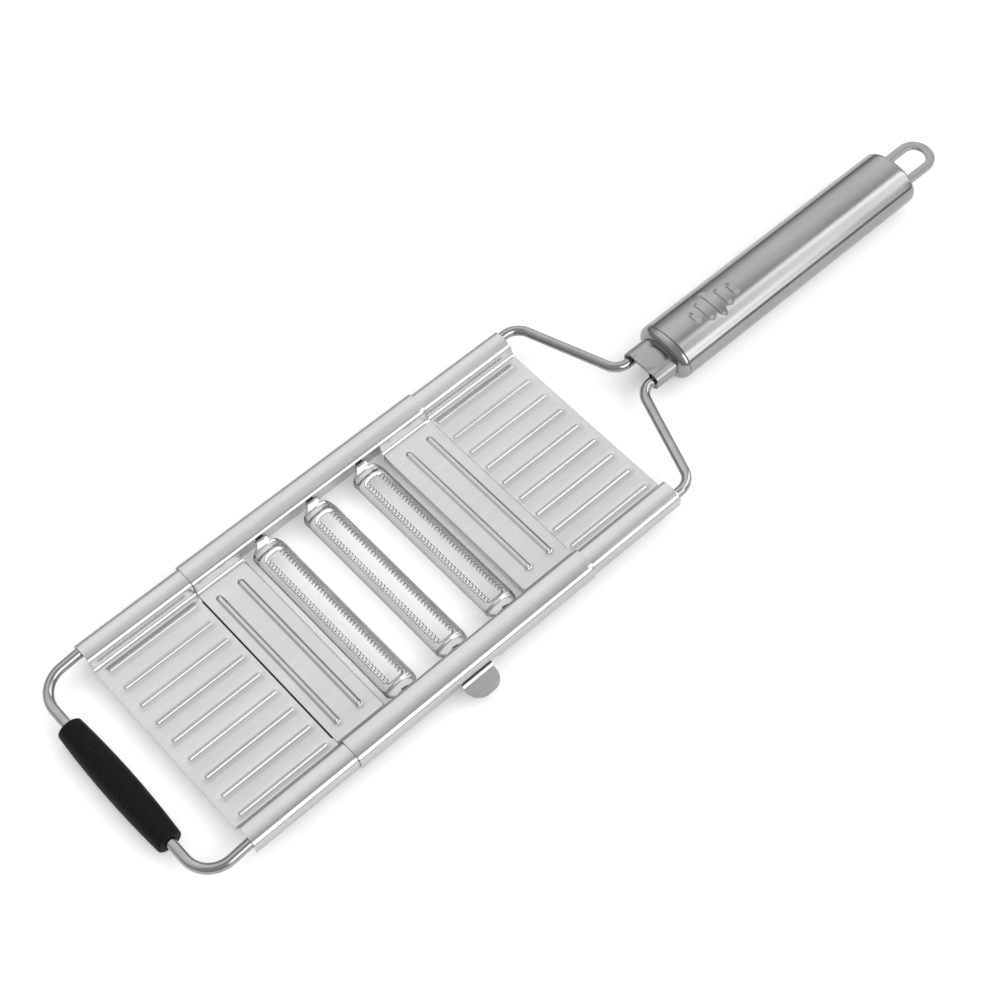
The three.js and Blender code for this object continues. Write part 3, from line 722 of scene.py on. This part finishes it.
TOOTH_LEFT, TOOTH_MIDDLE, TOOTH_RIGHT = 0.3, TOOTH_PITCH / 2, 1.3  # from where the tooth's pitch starts
TOOTH_CUTS = (0.0, TOOTH_LEFT, 0.36, TOOTH_MIDDLE, 1.24, TOOTH_RIGHT, TOOTH_PITCH)
TOOTH_ROWS = [ARC_ROOT, 3.9, 3.4, 2.9, ARC_TIP]
TOOTH_TAPER = 0.22  # how much narrower a tooth is at its tip
TOOTH_TWIST = {-1: -0.75, 1: 0.6}  # slope across a front and a rear tooth
TWIST_SHARE = 0.35  # of a tooth's length, in which it turns from the arch to that slope
TOOTH_DROOP = {-1: 0.45, 1: 0.0}  # how fast a front or rear tooth falls below the arch, toward its tip

CURL_REACH = 1.1
CURL_DEPTH = 0.9
CURL_POWER = 1.2
LIP_STEPS = (0.0, 0.18, 0.4, 0.68, 1.0)
GAP_ROWS = [ARC_ROOT - CURL_REACH * share for share in LIP_STEPS]
SLOT_REACH = 1.9  # of the slot's rounded ends, past the last tooth
SLOT_TIP = ROW_END + SLOT_REACH
SLOT_ARC = spread(0, QUARTER_TURN, 8)

CORNER_SPAN = BLADE_END - CORNER_START
CORNER_STEPS = [CORNER_START + CORNER_SPAN * math.sin(math.pi / 2 * k / 10) for k in range(1, 11)]
NECK_STEPS = [BLADE_END + v for v in (0.12, 0.3, 0.55, 0.85, 1.3, 1.8, 2.3)]
STEP_DOWN, STEP_START, STEP_RUN = 0.45, 34.6, 1.2  # the solid ends lie lower than the slotted part
FLAT_START, FLAT_RUN = 38.0, 2.4  # where the arch flattens toward the stub
END_BOW = 0.012
PIVOT_RISE = PIVOT_Z - ARCH_RISE + STEP_DOWN
RISE_START_LEFT, RISE_START_RIGHT, RISE_END = 37.3, 38.5, 40.4
DENT_X, DENT_Y, DENT_RADIUS, DENT_DEPTH = 36.0, 4.2, 1.5, 0.4


def arch_height(y):
    """Height of a blade's sheet at a distance from its middle line: a low arch with steep flanks."""
    return ARCH_RISE - ARCH_FALL * (y / BLADE_HALF) ** 2


def blade_outline(x):
    """Half width of the blade at x: full, then rounded corners that sweep into the neck of its stub."""
    x = abs(x)
    if x < CORNER_START:
        return BLADE_HALF
    if x < BLADE_END:
        t = (x - CORNER_START) / CORNER_SPAN
        return BLADE_HALF - CORNER_DROP * (1 - math.sqrt(max(0.0, 1 - t * t)))
    t = min(1.0, (x - BLADE_END) / NECK_RUN)
    return NECK_HALF + (BLADE_HALF - CORNER_DROP - NECK_HALF) * (1 - math.sin(t * math.pi / 2))


def end_lift(x, y):
    """Height added past the slot: a step down, a dent beside its corners and the rise to the pivot."""
    reach = abs(x)
    step = STEP_DOWN * smoothstep((reach - STEP_START) / STEP_RUN)
    rise_start = RISE_START_RIGHT if x > 0 else RISE_START_LEFT
    rise = PIVOT_RISE * smoothstep((reach - rise_start) / (RISE_END - rise_start))
    off = math.hypot((reach - DENT_X) / DENT_RADIUS, (abs(y) - DENT_Y) / DENT_RADIUS)
    dent = DENT_DEPTH * (1 - smoothstep(off))
    return rise - step - dent


def curl_drop(share):
    """How far the sheet has curled under the blade, a share of the way from the slot's outline inward."""
    return -CURL_DEPTH * share**CURL_POWER


def lip_point(side, half, angle, share):
    """A point on the curled rim round one end of the slot: x, y and how far it is below the blade."""
    x = ROW_END + (SLOT_REACH - CURL_REACH * share) * math.sin(angle)
    y = (ARC_ROOT - CURL_REACH * share) * math.cos(angle)
    return side * x, half * y, curl_drop(share)


def gap_point(side, start, across, y):
    """A point of the sheet curled down between two teeth."""
    return start + across, side * y, curl_drop((ARC_ROOT - y) / CURL_REACH)


def tooth_point(side, start, across, y):
    """A point of a tooth, which narrows to its tip, is twisted to one side and may droop."""
    share = (ARC_ROOT - y) / (ARC_ROOT - ARC_TIP)
    off = (across - TOOTH_MIDDLE) * (1 - TOOTH_TAPER * share)
    twist = TOOTH_TWIST[side] * smoothstep(share / TWIST_SHARE)
    droop = TOOTH_DROOP[side] * (ARC_ROOT - y)
    return start + TOOTH_MIDDLE + off, side * y, off * twist - droop


class BladeSheet:
    """Collects a blade's faces, whose corners share one vertex where they meet."""

    def __init__(self, centre_y):
        self.centre_y = centre_y
        self.vertices = []
        self.faces = []
        self.known = {}

    def vertex(self, x, y, lift=0.0):
        """The number of the vertex that lies lift above the arch at x and y."""
        key = (round(x, 4), round(y, 4), round(lift, 4))
        if key not in self.known:
            self.known[key] = len(self.vertices)
            flat = smoothstep((abs(x) - FLAT_START) / FLAT_RUN)
            height = arch_height(y) * (1 - flat) + (ARCH_RISE - END_BOW * y * y) * flat
            self.vertices.append((x, self.centre_y + y, height + end_lift(x, y) + lift))
        return self.known[key]

    def face(self, corners, flip=False):
        """A face through the corners, or none where they fall together."""
        if flip:
            corners = corners[::-1]
        ring = tuple(dict.fromkeys(self.vertex(*c) for c in corners))
        if len(ring) > 2:
            self.faces.append(ring)

    def strip(self, x0, x1, ys0, ys1):
        """Faces between one column of points at x0 and another at x1."""
        for (a, b), (c, d) in zip(zip(ys0, ys0[1:]), zip(ys1, ys1[1:])):
            self.face([(x0, a), (x1, c), (x1, d), (x0, b)])


def comb(sheet, side):
    """One row of teeth, with the flank beside it and the sheet curled down between the teeth."""
    flank = [side * y for y in (FLANK if side < 0 else FLANK[::-1])]
    for i in range(TEETH):
        start = -ROW_END + i * TOOTH_PITCH
        cuts = [start + offset for offset in TOOTH_CUTS]
        for x0, x1 in zip(cuts, cuts[1:]):
            sheet.strip(x0, x1, flank, flank)
        gaps = ((0.0, TOOTH_LEFT), (TOOTH_RIGHT, TOOTH_PITCH))
        halves = ((TOOTH_LEFT, TOOTH_MIDDLE), (TOOTH_MIDDLE, TOOTH_RIGHT))
        for spans, rows, point in ((gaps, GAP_ROWS, gap_point), (halves, TOOTH_ROWS, tooth_point)):
            for a, b in spans:
                for y0, y1 in zip(rows, rows[1:]):
                    ring = [(a, y0), (b, y0), (b, y1), (a, y1)]
                    sheet.face([point(side, start, *c) for c in ring], flip=side > 0)


def rim_column(half, angle):
    """Positions across the blade from its edge in to the slot's rounded end, at an angle of that end."""
    hole = ARC_ROOT * math.cos(angle)
    return [half * (hole + (BLADE_HALF - hole) * s) for s in FLANK_SHARES]


def slot_end(sheet, side):
    """The sheet round one end of the slot, and its rim curled down like the gaps between the teeth."""
    xs = [ROW_END + SLOT_REACH * math.sin(a) for a in SLOT_ARC]
    for x0, x1, a0, a1 in zip(xs, xs[1:], SLOT_ARC, SLOT_ARC[1:]):
        for half in (-1, 1):
            first, second = rim_column(half, a0), rim_column(half, a1)
            if half == side:
                first, second = first[::-1], second[::-1]
            sheet.strip(side * x0, side * x1, first, second)
    for a0, a1 in zip(SLOT_ARC, SLOT_ARC[1:]):
        for s0, s1 in zip(LIP_STEPS, LIP_STEPS[1:]):
            for half in (-1, 1):
                ring = [(a0, s0), (a1, s0), (a1, s1), (a0, s1)]
                sheet.face([lip_point(side, half, *c) for c in ring], flip=half == side)


def solid_end(sheet, side):
    """From the slot's tip over the rounded corners to the stub that turns in the strip's hole."""
    xs = [SLOT_TIP, *spread(SLOT_TIP, CORNER_START, 4)[1:], *CORNER_STEPS, *NECK_STEPS]
    halves = [(x, blade_outline(x)) for x in xs]
    halves += [(STUB_START, STUB_HALF), (STUB_END, STUB_HALF)]
    across = [-s for s in FLANK_SHARES] + FLANK_SHARES[::-1][1:]
    if side < 0:
        across.reverse()
    for (x0, half0), (x1, half1) in zip(halves, halves[1:]):
        sheet.strip(side * x0, side * x1, [half0 * s for s in across], [half1 * s for s in across])


def blade(label):
    """An arched blade with a comb on each side of its slot, and a stub at each end."""
    sheet = BladeSheet(BLADE_YS[label])
    for side in (-1, 1):
        comb(sheet, side)
    for side in (-1, 1):
        slot_end(sheet, side)
        solid_end(sheet, side)
    name = f"blade_{label}"
    shape = (f"{name}_sheet", sheet.vertices, sheet.faces)
    piece = make_object(*shape, BLADE_STEEL, "blade_steel", [name], f"{label}_blade")
    solidify(piece, BLADE_SHEET, edge=0)


def plate_piece(outline, holes, x, thickness=SHEET):
    """A flat plate across x with broken edges, from (y, z) outlines: a filled curve made into a mesh."""
    curve = bpy.data.curves.new("plate", "CURVE")
    curve.dimensions = "2D"
    curve.fill_mode = "BOTH"
    curve.extrude = thickness / 2 - CUT_EDGE
    curve.bevel_depth = CUT_EDGE
    curve.bevel_resolution = 2
    curve.offset = -CUT_EDGE
    for ring in (outline, *holes):
        spline = curve.splines.new("POLY")
        spline.points.add(len(ring) - 1)
        for point, (y, z) in zip(spline.points, ring):
            point.co = (y, z, 0, 1)
        spline.use_cyclic_u = True
    holder = add_object("plate", curve)
    bpy.context.view_layer.update()
    flat = bpy.data.meshes.new_from_object(holder.evaluated_get(bpy.context.evaluated_depsgraph_get()))
    vertices = [(x + v.co.z, v.co.x, v.co.y) for v in flat.vertices]
    faces = [tuple(f.vertices) for f in flat.polygons]
    bpy.data.objects.remove(holder)
    return vertices, faces


def circle(y, z, radius, count=40):
    """Points round a circle in a plate's plane."""
    angles = [2 * math.pi * k / count for k in range(count)]
    return [(y + radius * math.cos(a), z + radius * math.sin(a)) for a in angles]


CRANK = 6.0  # from the pivot to the lug
LEAN = 0.25  # radians
LUG_Y = -CRANK * math.sin(LEAN)
LUG_Z = PIVOT_Z - CRANK * math.cos(LEAN)
LUG_RADIUS, LUG_END = 0.7, 44.8
LEG_X = 38.3
LEG_HALF = 1.2
LEG_TOP = PIVOT_Z - 0.3


def crank(label):
    """The leg under a blade's right ear, and the lug that reaches into the adjuster bar."""
    y = BLADE_YS[label]
    along = np.array((LUG_Y, LUG_Z - PIVOT_Z)) / CRANK
    across = np.array((-along[1], along[0])) * LEG_HALF
    top = np.array((y, LEG_TOP))
    low = np.array((y + LUG_Y, LUG_Z))
    ring = [tuple(top - across), tuple(low - across)]
    for angle in spread(0, math.pi, 10)[1:-1]:
        ring.append(tuple(low - across * math.cos(angle) + along * LEG_HALF * math.sin(angle)))
    ring += [tuple(low + across), tuple(top + across)]
    middle_x = LEG_X + SHEET / 2
    vertices, faces = plate_piece(ring, [], middle_x)
    path = [(x, y + LUG_Y, LUG_Z) for x in (middle_x, LUG_END - 0.3, LUG_END)]
    lug_vertices, lug_faces = swept_tube(path, LUG_RADIUS, 20)
    shift = len(vertices)
    vertices += [tuple(v) for v in lug_vertices]
    faces += [tuple(i + shift for i in f) for f in lug_faces]
    name = f"blade_{label}_crank"
    make_object(name, vertices, faces, BLADE_STEEL, "blade_steel", body=f"{label}_blade")


for label in BLADE_YS:
    blade(label)
    crank(label)


# ---------------- bearing strips and adjuster

STRIP_X = 41.2
STRIP_LOW, STRIP_HIGH = -1.7, 5.8
STRIP_LAP = 1.5  # how far the strips go on past the window
HOLE_RADIUS = 2.1


def bearing_strip(side):
    """The strip inside one rail, with a hole for each blade's stub."""
    front, rear = WINDOW_FRONT - STRIP_LAP, WINDOW_REAR + STRIP_LAP
    outline = [(front, STRIP_LOW), (rear, STRIP_LOW), (rear, STRIP_HIGH), (front, STRIP_HIGH)]
    holes = [circle(y, PIVOT_Z, HOLE_RADIUS) for y in BLADE_YS.values()]
    vertices, faces = plate_piece(outline, holes, STRIP_X + SHEET / 2)
    vertices = [(side * x, y, z) for x, y, z in vertices]
    if side < 0:
        faces = flipped(faces)
    hand = "left" if side < 0 else "right"
    replaced = [f"bearing_strip_{hand}"]
    make_object(f"strip_{hand}", vertices, faces, SHEET_STEEL, "sheet_steel", replaced)


for side in (-1, 1):
    bearing_strip(side)

BAR_X = 43.8
BAR_LOW, BAR_HIGH = -4.4, 0.6
BAR_GAP = 0.5  # between the bar's ends and the window's
LUG_SLOT_HALF = 1.0


def adjuster_web():
    """The upright bar under the right rail, with a slot for each blade's lug."""
    front, rear = WINDOW_FRONT + BAR_GAP, WINDOW_REAR - BAR_GAP
    outline = [(front, BAR_HIGH), (front, BAR_LOW)]
    top = LUG_Z + 0.1
    for y in BLADE_YS.values():
        middle = y + LUG_Y
        outline += [(middle - LUG_SLOT_HALF, BAR_LOW), (middle - LUG_SLOT_HALF, top)]
        for angle in spread(0, math.pi, 8)[1:-1]:
            outline.append((middle - math.cos(angle), top + math.sin(angle)))
        outline += [(middle + LUG_SLOT_HALF, top), (middle + LUG_SLOT_HALF, BAR_LOW)]
    outline += [(rear, BAR_LOW), (rear, BAR_HIGH)]
    vertices, faces = plate_piece(outline, [], BAR_X)
    make_object("adjuster_web", vertices, faces, SHEET_STEEL, "sheet_steel", ["adjuster_bar"], "adjuster")


TAB_FRONT, TAB_WIDTH = 90.2, 14.2
TAB_FOLD, TAB_REACH = 51.4, 7.2
TAB_HIGH, TAB_LOW = 0.2, -0.45  # before and after its small step down outside the skirt
TAB_STEP = 0.65
TAB_BEND = 0.5
TAB_DROOP = math.radians(17)
TAB_CORNER = 5.9
TAB_GRID = 0.35


def thumb_tab():
    """The tab bent down outside the skirt, with a round end."""
    step_x = TAB_FOLD + TAB_STEP
    tip = (step_x + TAB_REACH * math.cos(TAB_DROOP), TAB_LOW - TAB_REACH * math.sin(TAB_DROOP), 0)
    corners = [(BAR_X, TAB_HIGH, 0), (TAB_FOLD, TAB_HIGH, TAB_BEND), (step_x, TAB_LOW, TAB_BEND), tip]
    path = subdivided(rounded_path(corners), TAB_GRID)
    run = [0.0]
    for a, b in zip(path, path[1:]):
        run.append(run[-1] + math.dist(a, b))
    middle_y = TAB_FRONT + TAB_WIDTH / 2
    vertices = []
    across = spread(-1, 1, 24)
    for (x, z), done in zip(path, run):
        into_corner = max(0.0, TAB_CORNER - (run[-1] - done))
        half = TAB_WIDTH / 2 - (TAB_CORNER - math.sqrt(TAB_CORNER**2 - into_corner**2))
        vertices += [(x, middle_y + half * t, z) for t in across]
    faces = flipped(grid_faces(len(path), len(across)))
    solidify(make_object("adjuster_tab", vertices, faces, SHEET_STEEL, "sheet_steel", body="adjuster"))


adjuster_web()
thumb_tab()


# ---------------- neck and handle

HANDLE_FRONT, HANDLE_REAR = 241.0, 369.0
HALF_WIDTH, HALF_HEIGHT = 13.0, 9.21
HANDLE_POWER = 2.15  # of the superellipse: 2 is an ellipse, more is squarer


def oval_point(angle, half_width, half_height, power=HANDLE_POWER):
    """A point on a superellipse, as (x, z)."""
    c, s = math.cos(angle), math.sin(angle)
    x = half_width * math.copysign(abs(c) ** (2 / power), c)
    z = half_height * math.copysign(abs(s) ** (2 / power), s)
    return x, z


def oval_angles(count, samples=4000):
    """Angles whose points on the handle's oval are evenly spaced along its outline."""
    dense = spread(0, 2 * math.pi, samples)
    points = [oval_point(a, HALF_WIDTH, HALF_HEIGHT) for a in dense]
    steps = [math.dist(a, b) for a, b in zip(points, points[1:])]
    run = np.concatenate(([0.0], np.cumsum(steps)))
    return [float(v) for v in np.interp(np.linspace(0, run[-1], count, endpoint=False), run, dense)]


ANGLES = oval_angles(112)


def oval_rings(stations, dent=None):
    """Rings of an oval body at (y, inset) stations; dent(x, y), if given, moves the top in."""
    vertices = []
    for y, inset in stations:
        for angle in ANGLES:
            x, z = oval_point(angle, HALF_WIDTH - inset, HALF_HEIGHT - inset)
            if dent and z > 0:
                z -= dent(x, y)
            vertices.append((x, y, WIRE_Z + z))
    return vertices


def ring_faces(count):
    """Outward faces between a number of rings of ANGLES."""
    return flipped(grid_faces(count, len(ANGLES), closed=True))


def handle_object(name, vertices, faces, material, replaced, slot="handle_steel"):
    """A piece of the handle or its neck, shaded smooth over its soft edges."""
    make_object(name, vertices, faces, material, slot, [replaced], crease=50)


def oval_piece(name, stations, replaced, dent=None):
    """A piece of the handle made of oval rings."""
    vertices = oval_rings(stations, dent)
    handle_object(name, vertices, ring_faces(len(stations)), HANDLE_STEEL, replaced)


FIRST_DIMPLE = HANDLE_FRONT + 13.5
DIMPLE_PITCH = 5.1
DIMPLE_LENGTHS = (6.1, 10.6, 13.6, 9.6, 6.8)
DIMPLE_FRONT, DIMPLE_REAR, DIMPLE_DEPTH = 1.3, 2.2, 0.62
DIMPLE_END, DIMPLE_SIDE = 1.7, 1.75  # its rounded ends: where they start, and their reach across


def dimple_depth(x, y):
    """Depth of the five crosswise thumb dimples: shallow ovals, steeper at the front than behind."""
    depth = 0.0
    for i, length in enumerate(DIMPLE_LENGTHS):
        centre = FIRST_DIMPLE + i * DIMPLE_PITCH
        along = max(abs(x) - (length / 2 - DIMPLE_END), 0.0)
        half_width = DIMPLE_FRONT if y < centre else DIMPLE_REAR
        distance = math.hypot(along / DIMPLE_SIDE, (y - centre) / half_width)
        depth += DIMPLE_DEPTH * (1 - smoothstep((distance - 0.1) / 0.9))
    return depth


TUBE_WALL = 1.0
TUBE_INSIDE = 8  # how far the tube's inner wall is modelled at each end
CLOSE_REACH, CLOSE_INSET = 2.4, 1.7  # how the tube closes in at its rear


def handle_tube():
    """The oval tube with its dimples, open at the front and closing in at the rear."""
    front, rear = HANDLE_FRONT + 0.15, HANDLE_REAR - 0.2
    dimples_front = FIRST_DIMPLE - 3
    dimples_rear = FIRST_DIMPLE + (len(DIMPLE_LENGTHS) - 1) * DIMPLE_PITCH + 3
    ys = merge_lines(
        spread(front + 0.4, dimples_front, 4),
        spread(dimples_front, dimples_rear, 84),
        spread(dimples_rear, rear - 2.6, 30),
        least=0.05,
    )
    stations = [(front + TUBE_INSIDE, TUBE_WALL), (front, TUBE_WALL)]
    stations += [(front, 0.25), (front + 0.12, 0.08), (front + 0.3, 0.0)]
    stations += [(y, 0.0) for y in ys]
    for angle in spread(0, QUARTER_TURN, 9)[1:]:
        y = rear - CLOSE_REACH + CLOSE_REACH * math.sin(angle)
        stations.append((y, CLOSE_INSET * (1 - math.cos(angle))))
    stations += [(rear - 0.35, 1.95), (rear - 0.9, 2.0), (rear - TUBE_INSIDE, 2.0)]
    oval_piece("handle_tube_shell", stations, "handle_tube", dimple_depth)


DOME_FRONT = HANDLE_FRONT - 3.6
DOME_REACH, DOME_INSET = 3.3, 4.8


def handle_collar():
    """The dome that closes the handle's front, with a lip that goes into the tube."""
    stations = [(DOME_FRONT + 0.9, 5.4)]
    for angle in spread(0, QUARTER_TURN, 14):
        y = DOME_FRONT + DOME_REACH * (1 - math.cos(angle))
        stations.append((y, DOME_INSET * (1 - math.sin(angle))))
    stations += [(HANDLE_FRONT - 0.2, 0.0), (HANDLE_FRONT - 0.08, 0.15)]
    stations += [(HANDLE_FRONT - 0.05, 1.2), (HANDLE_FRONT + 6, 1.3)]
    oval_piece("handle_collar_dome", stations, "handle_collar")


NECK_FRONT, NECK_REAR = 227.2, 245.5
NECK_HALF_WIDTH, NECK_HALF_HEIGHT = 9.2, 4.2
NECK_POWER = 3.4
NECK_WALLS = 1.7  # of the two sheets pressed together between the wires
PINCH_HALF, PINCH_RUN = 3.6, 2.4
DISC_Y, DISC_RADIUS, DISC_RIM = NECK_FRONT + 5.4, 4.5, 1.6  # the flat round mark on its top
TOP_DIP, DISC_DIP = 0.3, 0.1


def neck_sleeve():
    """The tube pressed round the wire's two ends: flat on top, pinched up against it from below."""
    stations = [(NECK_FRONT + 0.9, 1.1), (NECK_FRONT + 0.35, 0.62), (NECK_FRONT, 0.5)]
    stations += [(NECK_FRONT, 0.14), (NECK_FRONT + 0.12, 0.0)]
    stations += [(y, 0.0) for y in spread(NECK_FRONT + 0.4, NECK_REAR, 24)]
    vertices = []
    for y, inset in stations:
        for angle in ANGLES:
            half_width, half_height = NECK_HALF_WIDTH - inset, NECK_HALF_HEIGHT - inset
            x, z = oval_point(angle, half_width, half_height, NECK_POWER)
            middle = 1 - smoothstep((abs(x) - PINCH_HALF) / PINCH_RUN)
            if z < 0:
                z += middle * (NECK_HALF_HEIGHT * 2 - NECK_WALLS)
            else:
                off_disc = smoothstep((math.hypot(x, y - DISC_Y) - DISC_RADIUS) / DISC_RIM)
                z -= middle * (DISC_DIP + TOP_DIP * off_disc)
            vertices.append((x, y, WIRE_Z + z))
    faces = ring_faces(len(stations))
    faces.append(tuple(range(len(ANGLES))))
    handle_object("neck_sleeve_tube", vertices, faces, LOOP_STEEL, "neck_sleeve", "sheet_steel")


CAP_REAR = HANDLE_REAR - 0.45


def handle_end_cap():
    """The sunk plate that closes the tube's rear."""
    stations = [(CAP_REAR - 8, 2.1), (CAP_REAR - 0.5, 2.1), (CAP_REAR - 0.15, 2.25)]
    stations += [(CAP_REAR, 2.7), (CAP_REAR + 0.1, 4.5), (CAP_REAR + 0.15, 8.0)]
    vertices = oval_rings(stations)
    faces = ring_faces(len(stations))
    last = (len(stations) - 1) * len(ANGLES)
    faces.append(tuple(reversed(range(last, last + len(ANGLES)))))
    handle_object("handle_end_plate", vertices, faces, LOOP_STEEL, "handle_end_cap")


LOOP_HALF_WIDTH, LOOP_STRIP, LOOP_THICKNESS = 8.1, 3.7, 1.6
LOOP_EDGE = 0.42
LOOP_LENGTH = 22  # past the handle's rear
LOOP_INSIDE = 6
LOOP_STEPS = 48


def loop_centre():
    """The strip's middle line as (x, y, outward x, outward y)."""
    middle = LOOP_HALF_WIDTH - LOOP_STRIP / 2
    bend = HANDLE_REAR + LOOP_LENGTH - LOOP_HALF_WIDTH
    leg = spread(HANDLE_REAR - LOOP_INSIDE, bend, 8)
    centre = [(middle, y, 1, 0) for y in leg]
    for angle in spread(0, math.pi, LOOP_STEPS)[1:-1]:
        c, s = math.cos(angle), math.sin(angle)
        centre.append((middle * c, bend + middle * s, c, s))
    return centre + [(-middle, y, -1, 0) for y in reversed(leg)]


def loop_section():
    """The strip's rounded section as (outward, up), one corner after another."""
    ring = []
    for cx, cz in ((1, 1), (-1, 1), (-1, -1), (1, -1)):
        for k in range(5):
            angle = math.atan2(cz, cx) - math.pi / 4 + math.pi / 2 * k / 4
            out = cx * (LOOP_STRIP / 2 - LOOP_EDGE) + LOOP_EDGE * math.cos(angle)
            up = cz * (LOOP_THICKNESS / 2 - LOOP_EDGE) + LOOP_EDGE * math.sin(angle)
            ring.append((out, up))
    return ring


def hang_loop():
    """A flat strip bent into a U, with bevelled edges and both legs inside the handle."""
    centre = loop_centre()
    ring = loop_section()
    vertices = []
    for x, y, nx, ny in centre:
        vertices += [(x + nx * out, y + ny * out, WIRE_Z + up) for out, up in ring]
    faces = flipped(grid_faces(len(centre), len(ring), closed=True))
    last = (len(centre) - 1) * len(ring)
    faces.append(tuple(range(len(ring))))
    faces.append(tuple(reversed(range(last, last + len(ring)))))
    handle_object("hang_loop_strip", vertices, faces, LOOP_STEEL, "hang_loop")


handle_tube()
handle_collar()
neck_sleeve()
handle_end_cap()
hang_loop()


# ---------------- floor and light

FLOOR_REACH = 20.0  # metres, so that the floor meets the horizon in low views


def add_floor():
    """The white floor under the slicer."""
    mesh = bpy.data.meshes.new("floor")
    corners = [(x * FLOOR_REACH, y * FLOOR_REACH, 0) for x, y in ((-1, -1), (1, -1), (1, 1), (-1, 1))]
    mesh.from_pydata(corners, [], [(0, 1, 2, 3)])
    mesh.materials.append(floor_paper())
    add_object("floor", mesh)


LAMP_PLACE = (-0.55, 0.20, 1.15)
LAMP_AIM = (0, -0.1, 0)
LAMP_SIZE, LAMP_POWER = 1.0, 0.2


def add_softbox():
    """A weak square lamp above the slicer."""
    data = bpy.data.lights.new("softbox_above", "AREA")
    data.shape = "RECTANGLE"
    data.size = LAMP_SIZE
    data.size_y = LAMP_SIZE
    data.energy = LAMP_POWER
    lamp = add_object("softbox_above", data)
    lamp.location = LAMP_PLACE
    aim(lamp, Vector(LAMP_AIM) - Vector(LAMP_PLACE))


BASE_LIGHT = 0.60
HORIZON_LIGHT = 0.22
OVERHEAD_LIGHT = 1.42
SIDE_LIGHT = 3.3
BACK_LIGHT = 2.3


def soft_edge(tree, coordinate, start, end):
    """A soft step along one direction coordinate: 0 at start, 1 at end."""
    values = (0.0, 1.0) if start < end else (1.0, 0.0)
    result = remap(tree, coordinate, min(start, end), max(start, end), *values)
    result.node.interpolation_type = "SMOOTHSTEP"
    return result


def add_world():
    """A pale studio: a wide softbox above, brighter ones to the right and behind, dark near the horizon."""
    world = bpy.data.worlds.new("studio")
    world.use_nodes = True
    tree = world.node_tree
    tree.nodes.clear()
    direction = tree.nodes.new("ShaderNodeTexCoord").outputs["Generated"]
    split = add_node(tree, "ShaderNodeSeparateXYZ", {"Vector": direction})

    def box(*edges):
        """1 inside the soft edges, each an (axis, start, end), and 0 outside them."""
        result = 1.0
        for axis, start, end in edges:
            result = math_node(tree, "MULTIPLY", soft_edge(tree, split.outputs[axis], start, end), result)
        return result

    above_horizon = box(("Z", 0.13, 0.22))
    overhead = box(("X", 0.10, -0.50), ("X", -0.90, -0.62), ("Y", -1.15, -0.40), ("Z", 0.20, 0.36))
    side = box(("X", 0.50, 0.60), ("Y", -0.25, -0.10), ("Y", 0.60, 0.48), ("Z", 0.20, 0.28))
    side_bar = box(("Z", 0.38, 0.42), ("Z", 0.52, 0.48))
    back = box(("X", -0.02, 0.08), ("X", 0.60, 0.50), ("Y", 0.42, 0.50), ("Z", 0.20, 0.30))
    rim = math_node(tree, "MULTIPLY", back, box(("X", 0.24, 0.16)))
    side_strength = math_node(tree, "SUBTRACT", SIDE_LIGHT - BASE_LIGHT, side_bar)
    light = HORIZON_LIGHT
    for place, strength in (
        (above_horizon, BASE_LIGHT - HORIZON_LIGHT),
        (overhead, OVERHEAD_LIGHT - BASE_LIGHT),
        (side, side_strength),
        (back, BACK_LIGHT - BASE_LIGHT),
        (rim, SIDE_LIGHT - BACK_LIGHT),
    ):
        light = math_node(tree, "ADD", math_node(tree, "MULTIPLY", place, strength), light)
    background = add_node(tree, "ShaderNodeBackground", {"Color": light})
    add_node(tree, "ShaderNodeOutputWorld", {"Surface": background.outputs["Background"]})
    bpy.context.scene.world = world


add_floor()
add_world()
add_softbox()

scene = bpy.context.scene
scene.view_settings.view_transform = "Standard"
scene.view_settings.look = "None"
scene.view_settings.exposure = 0.0
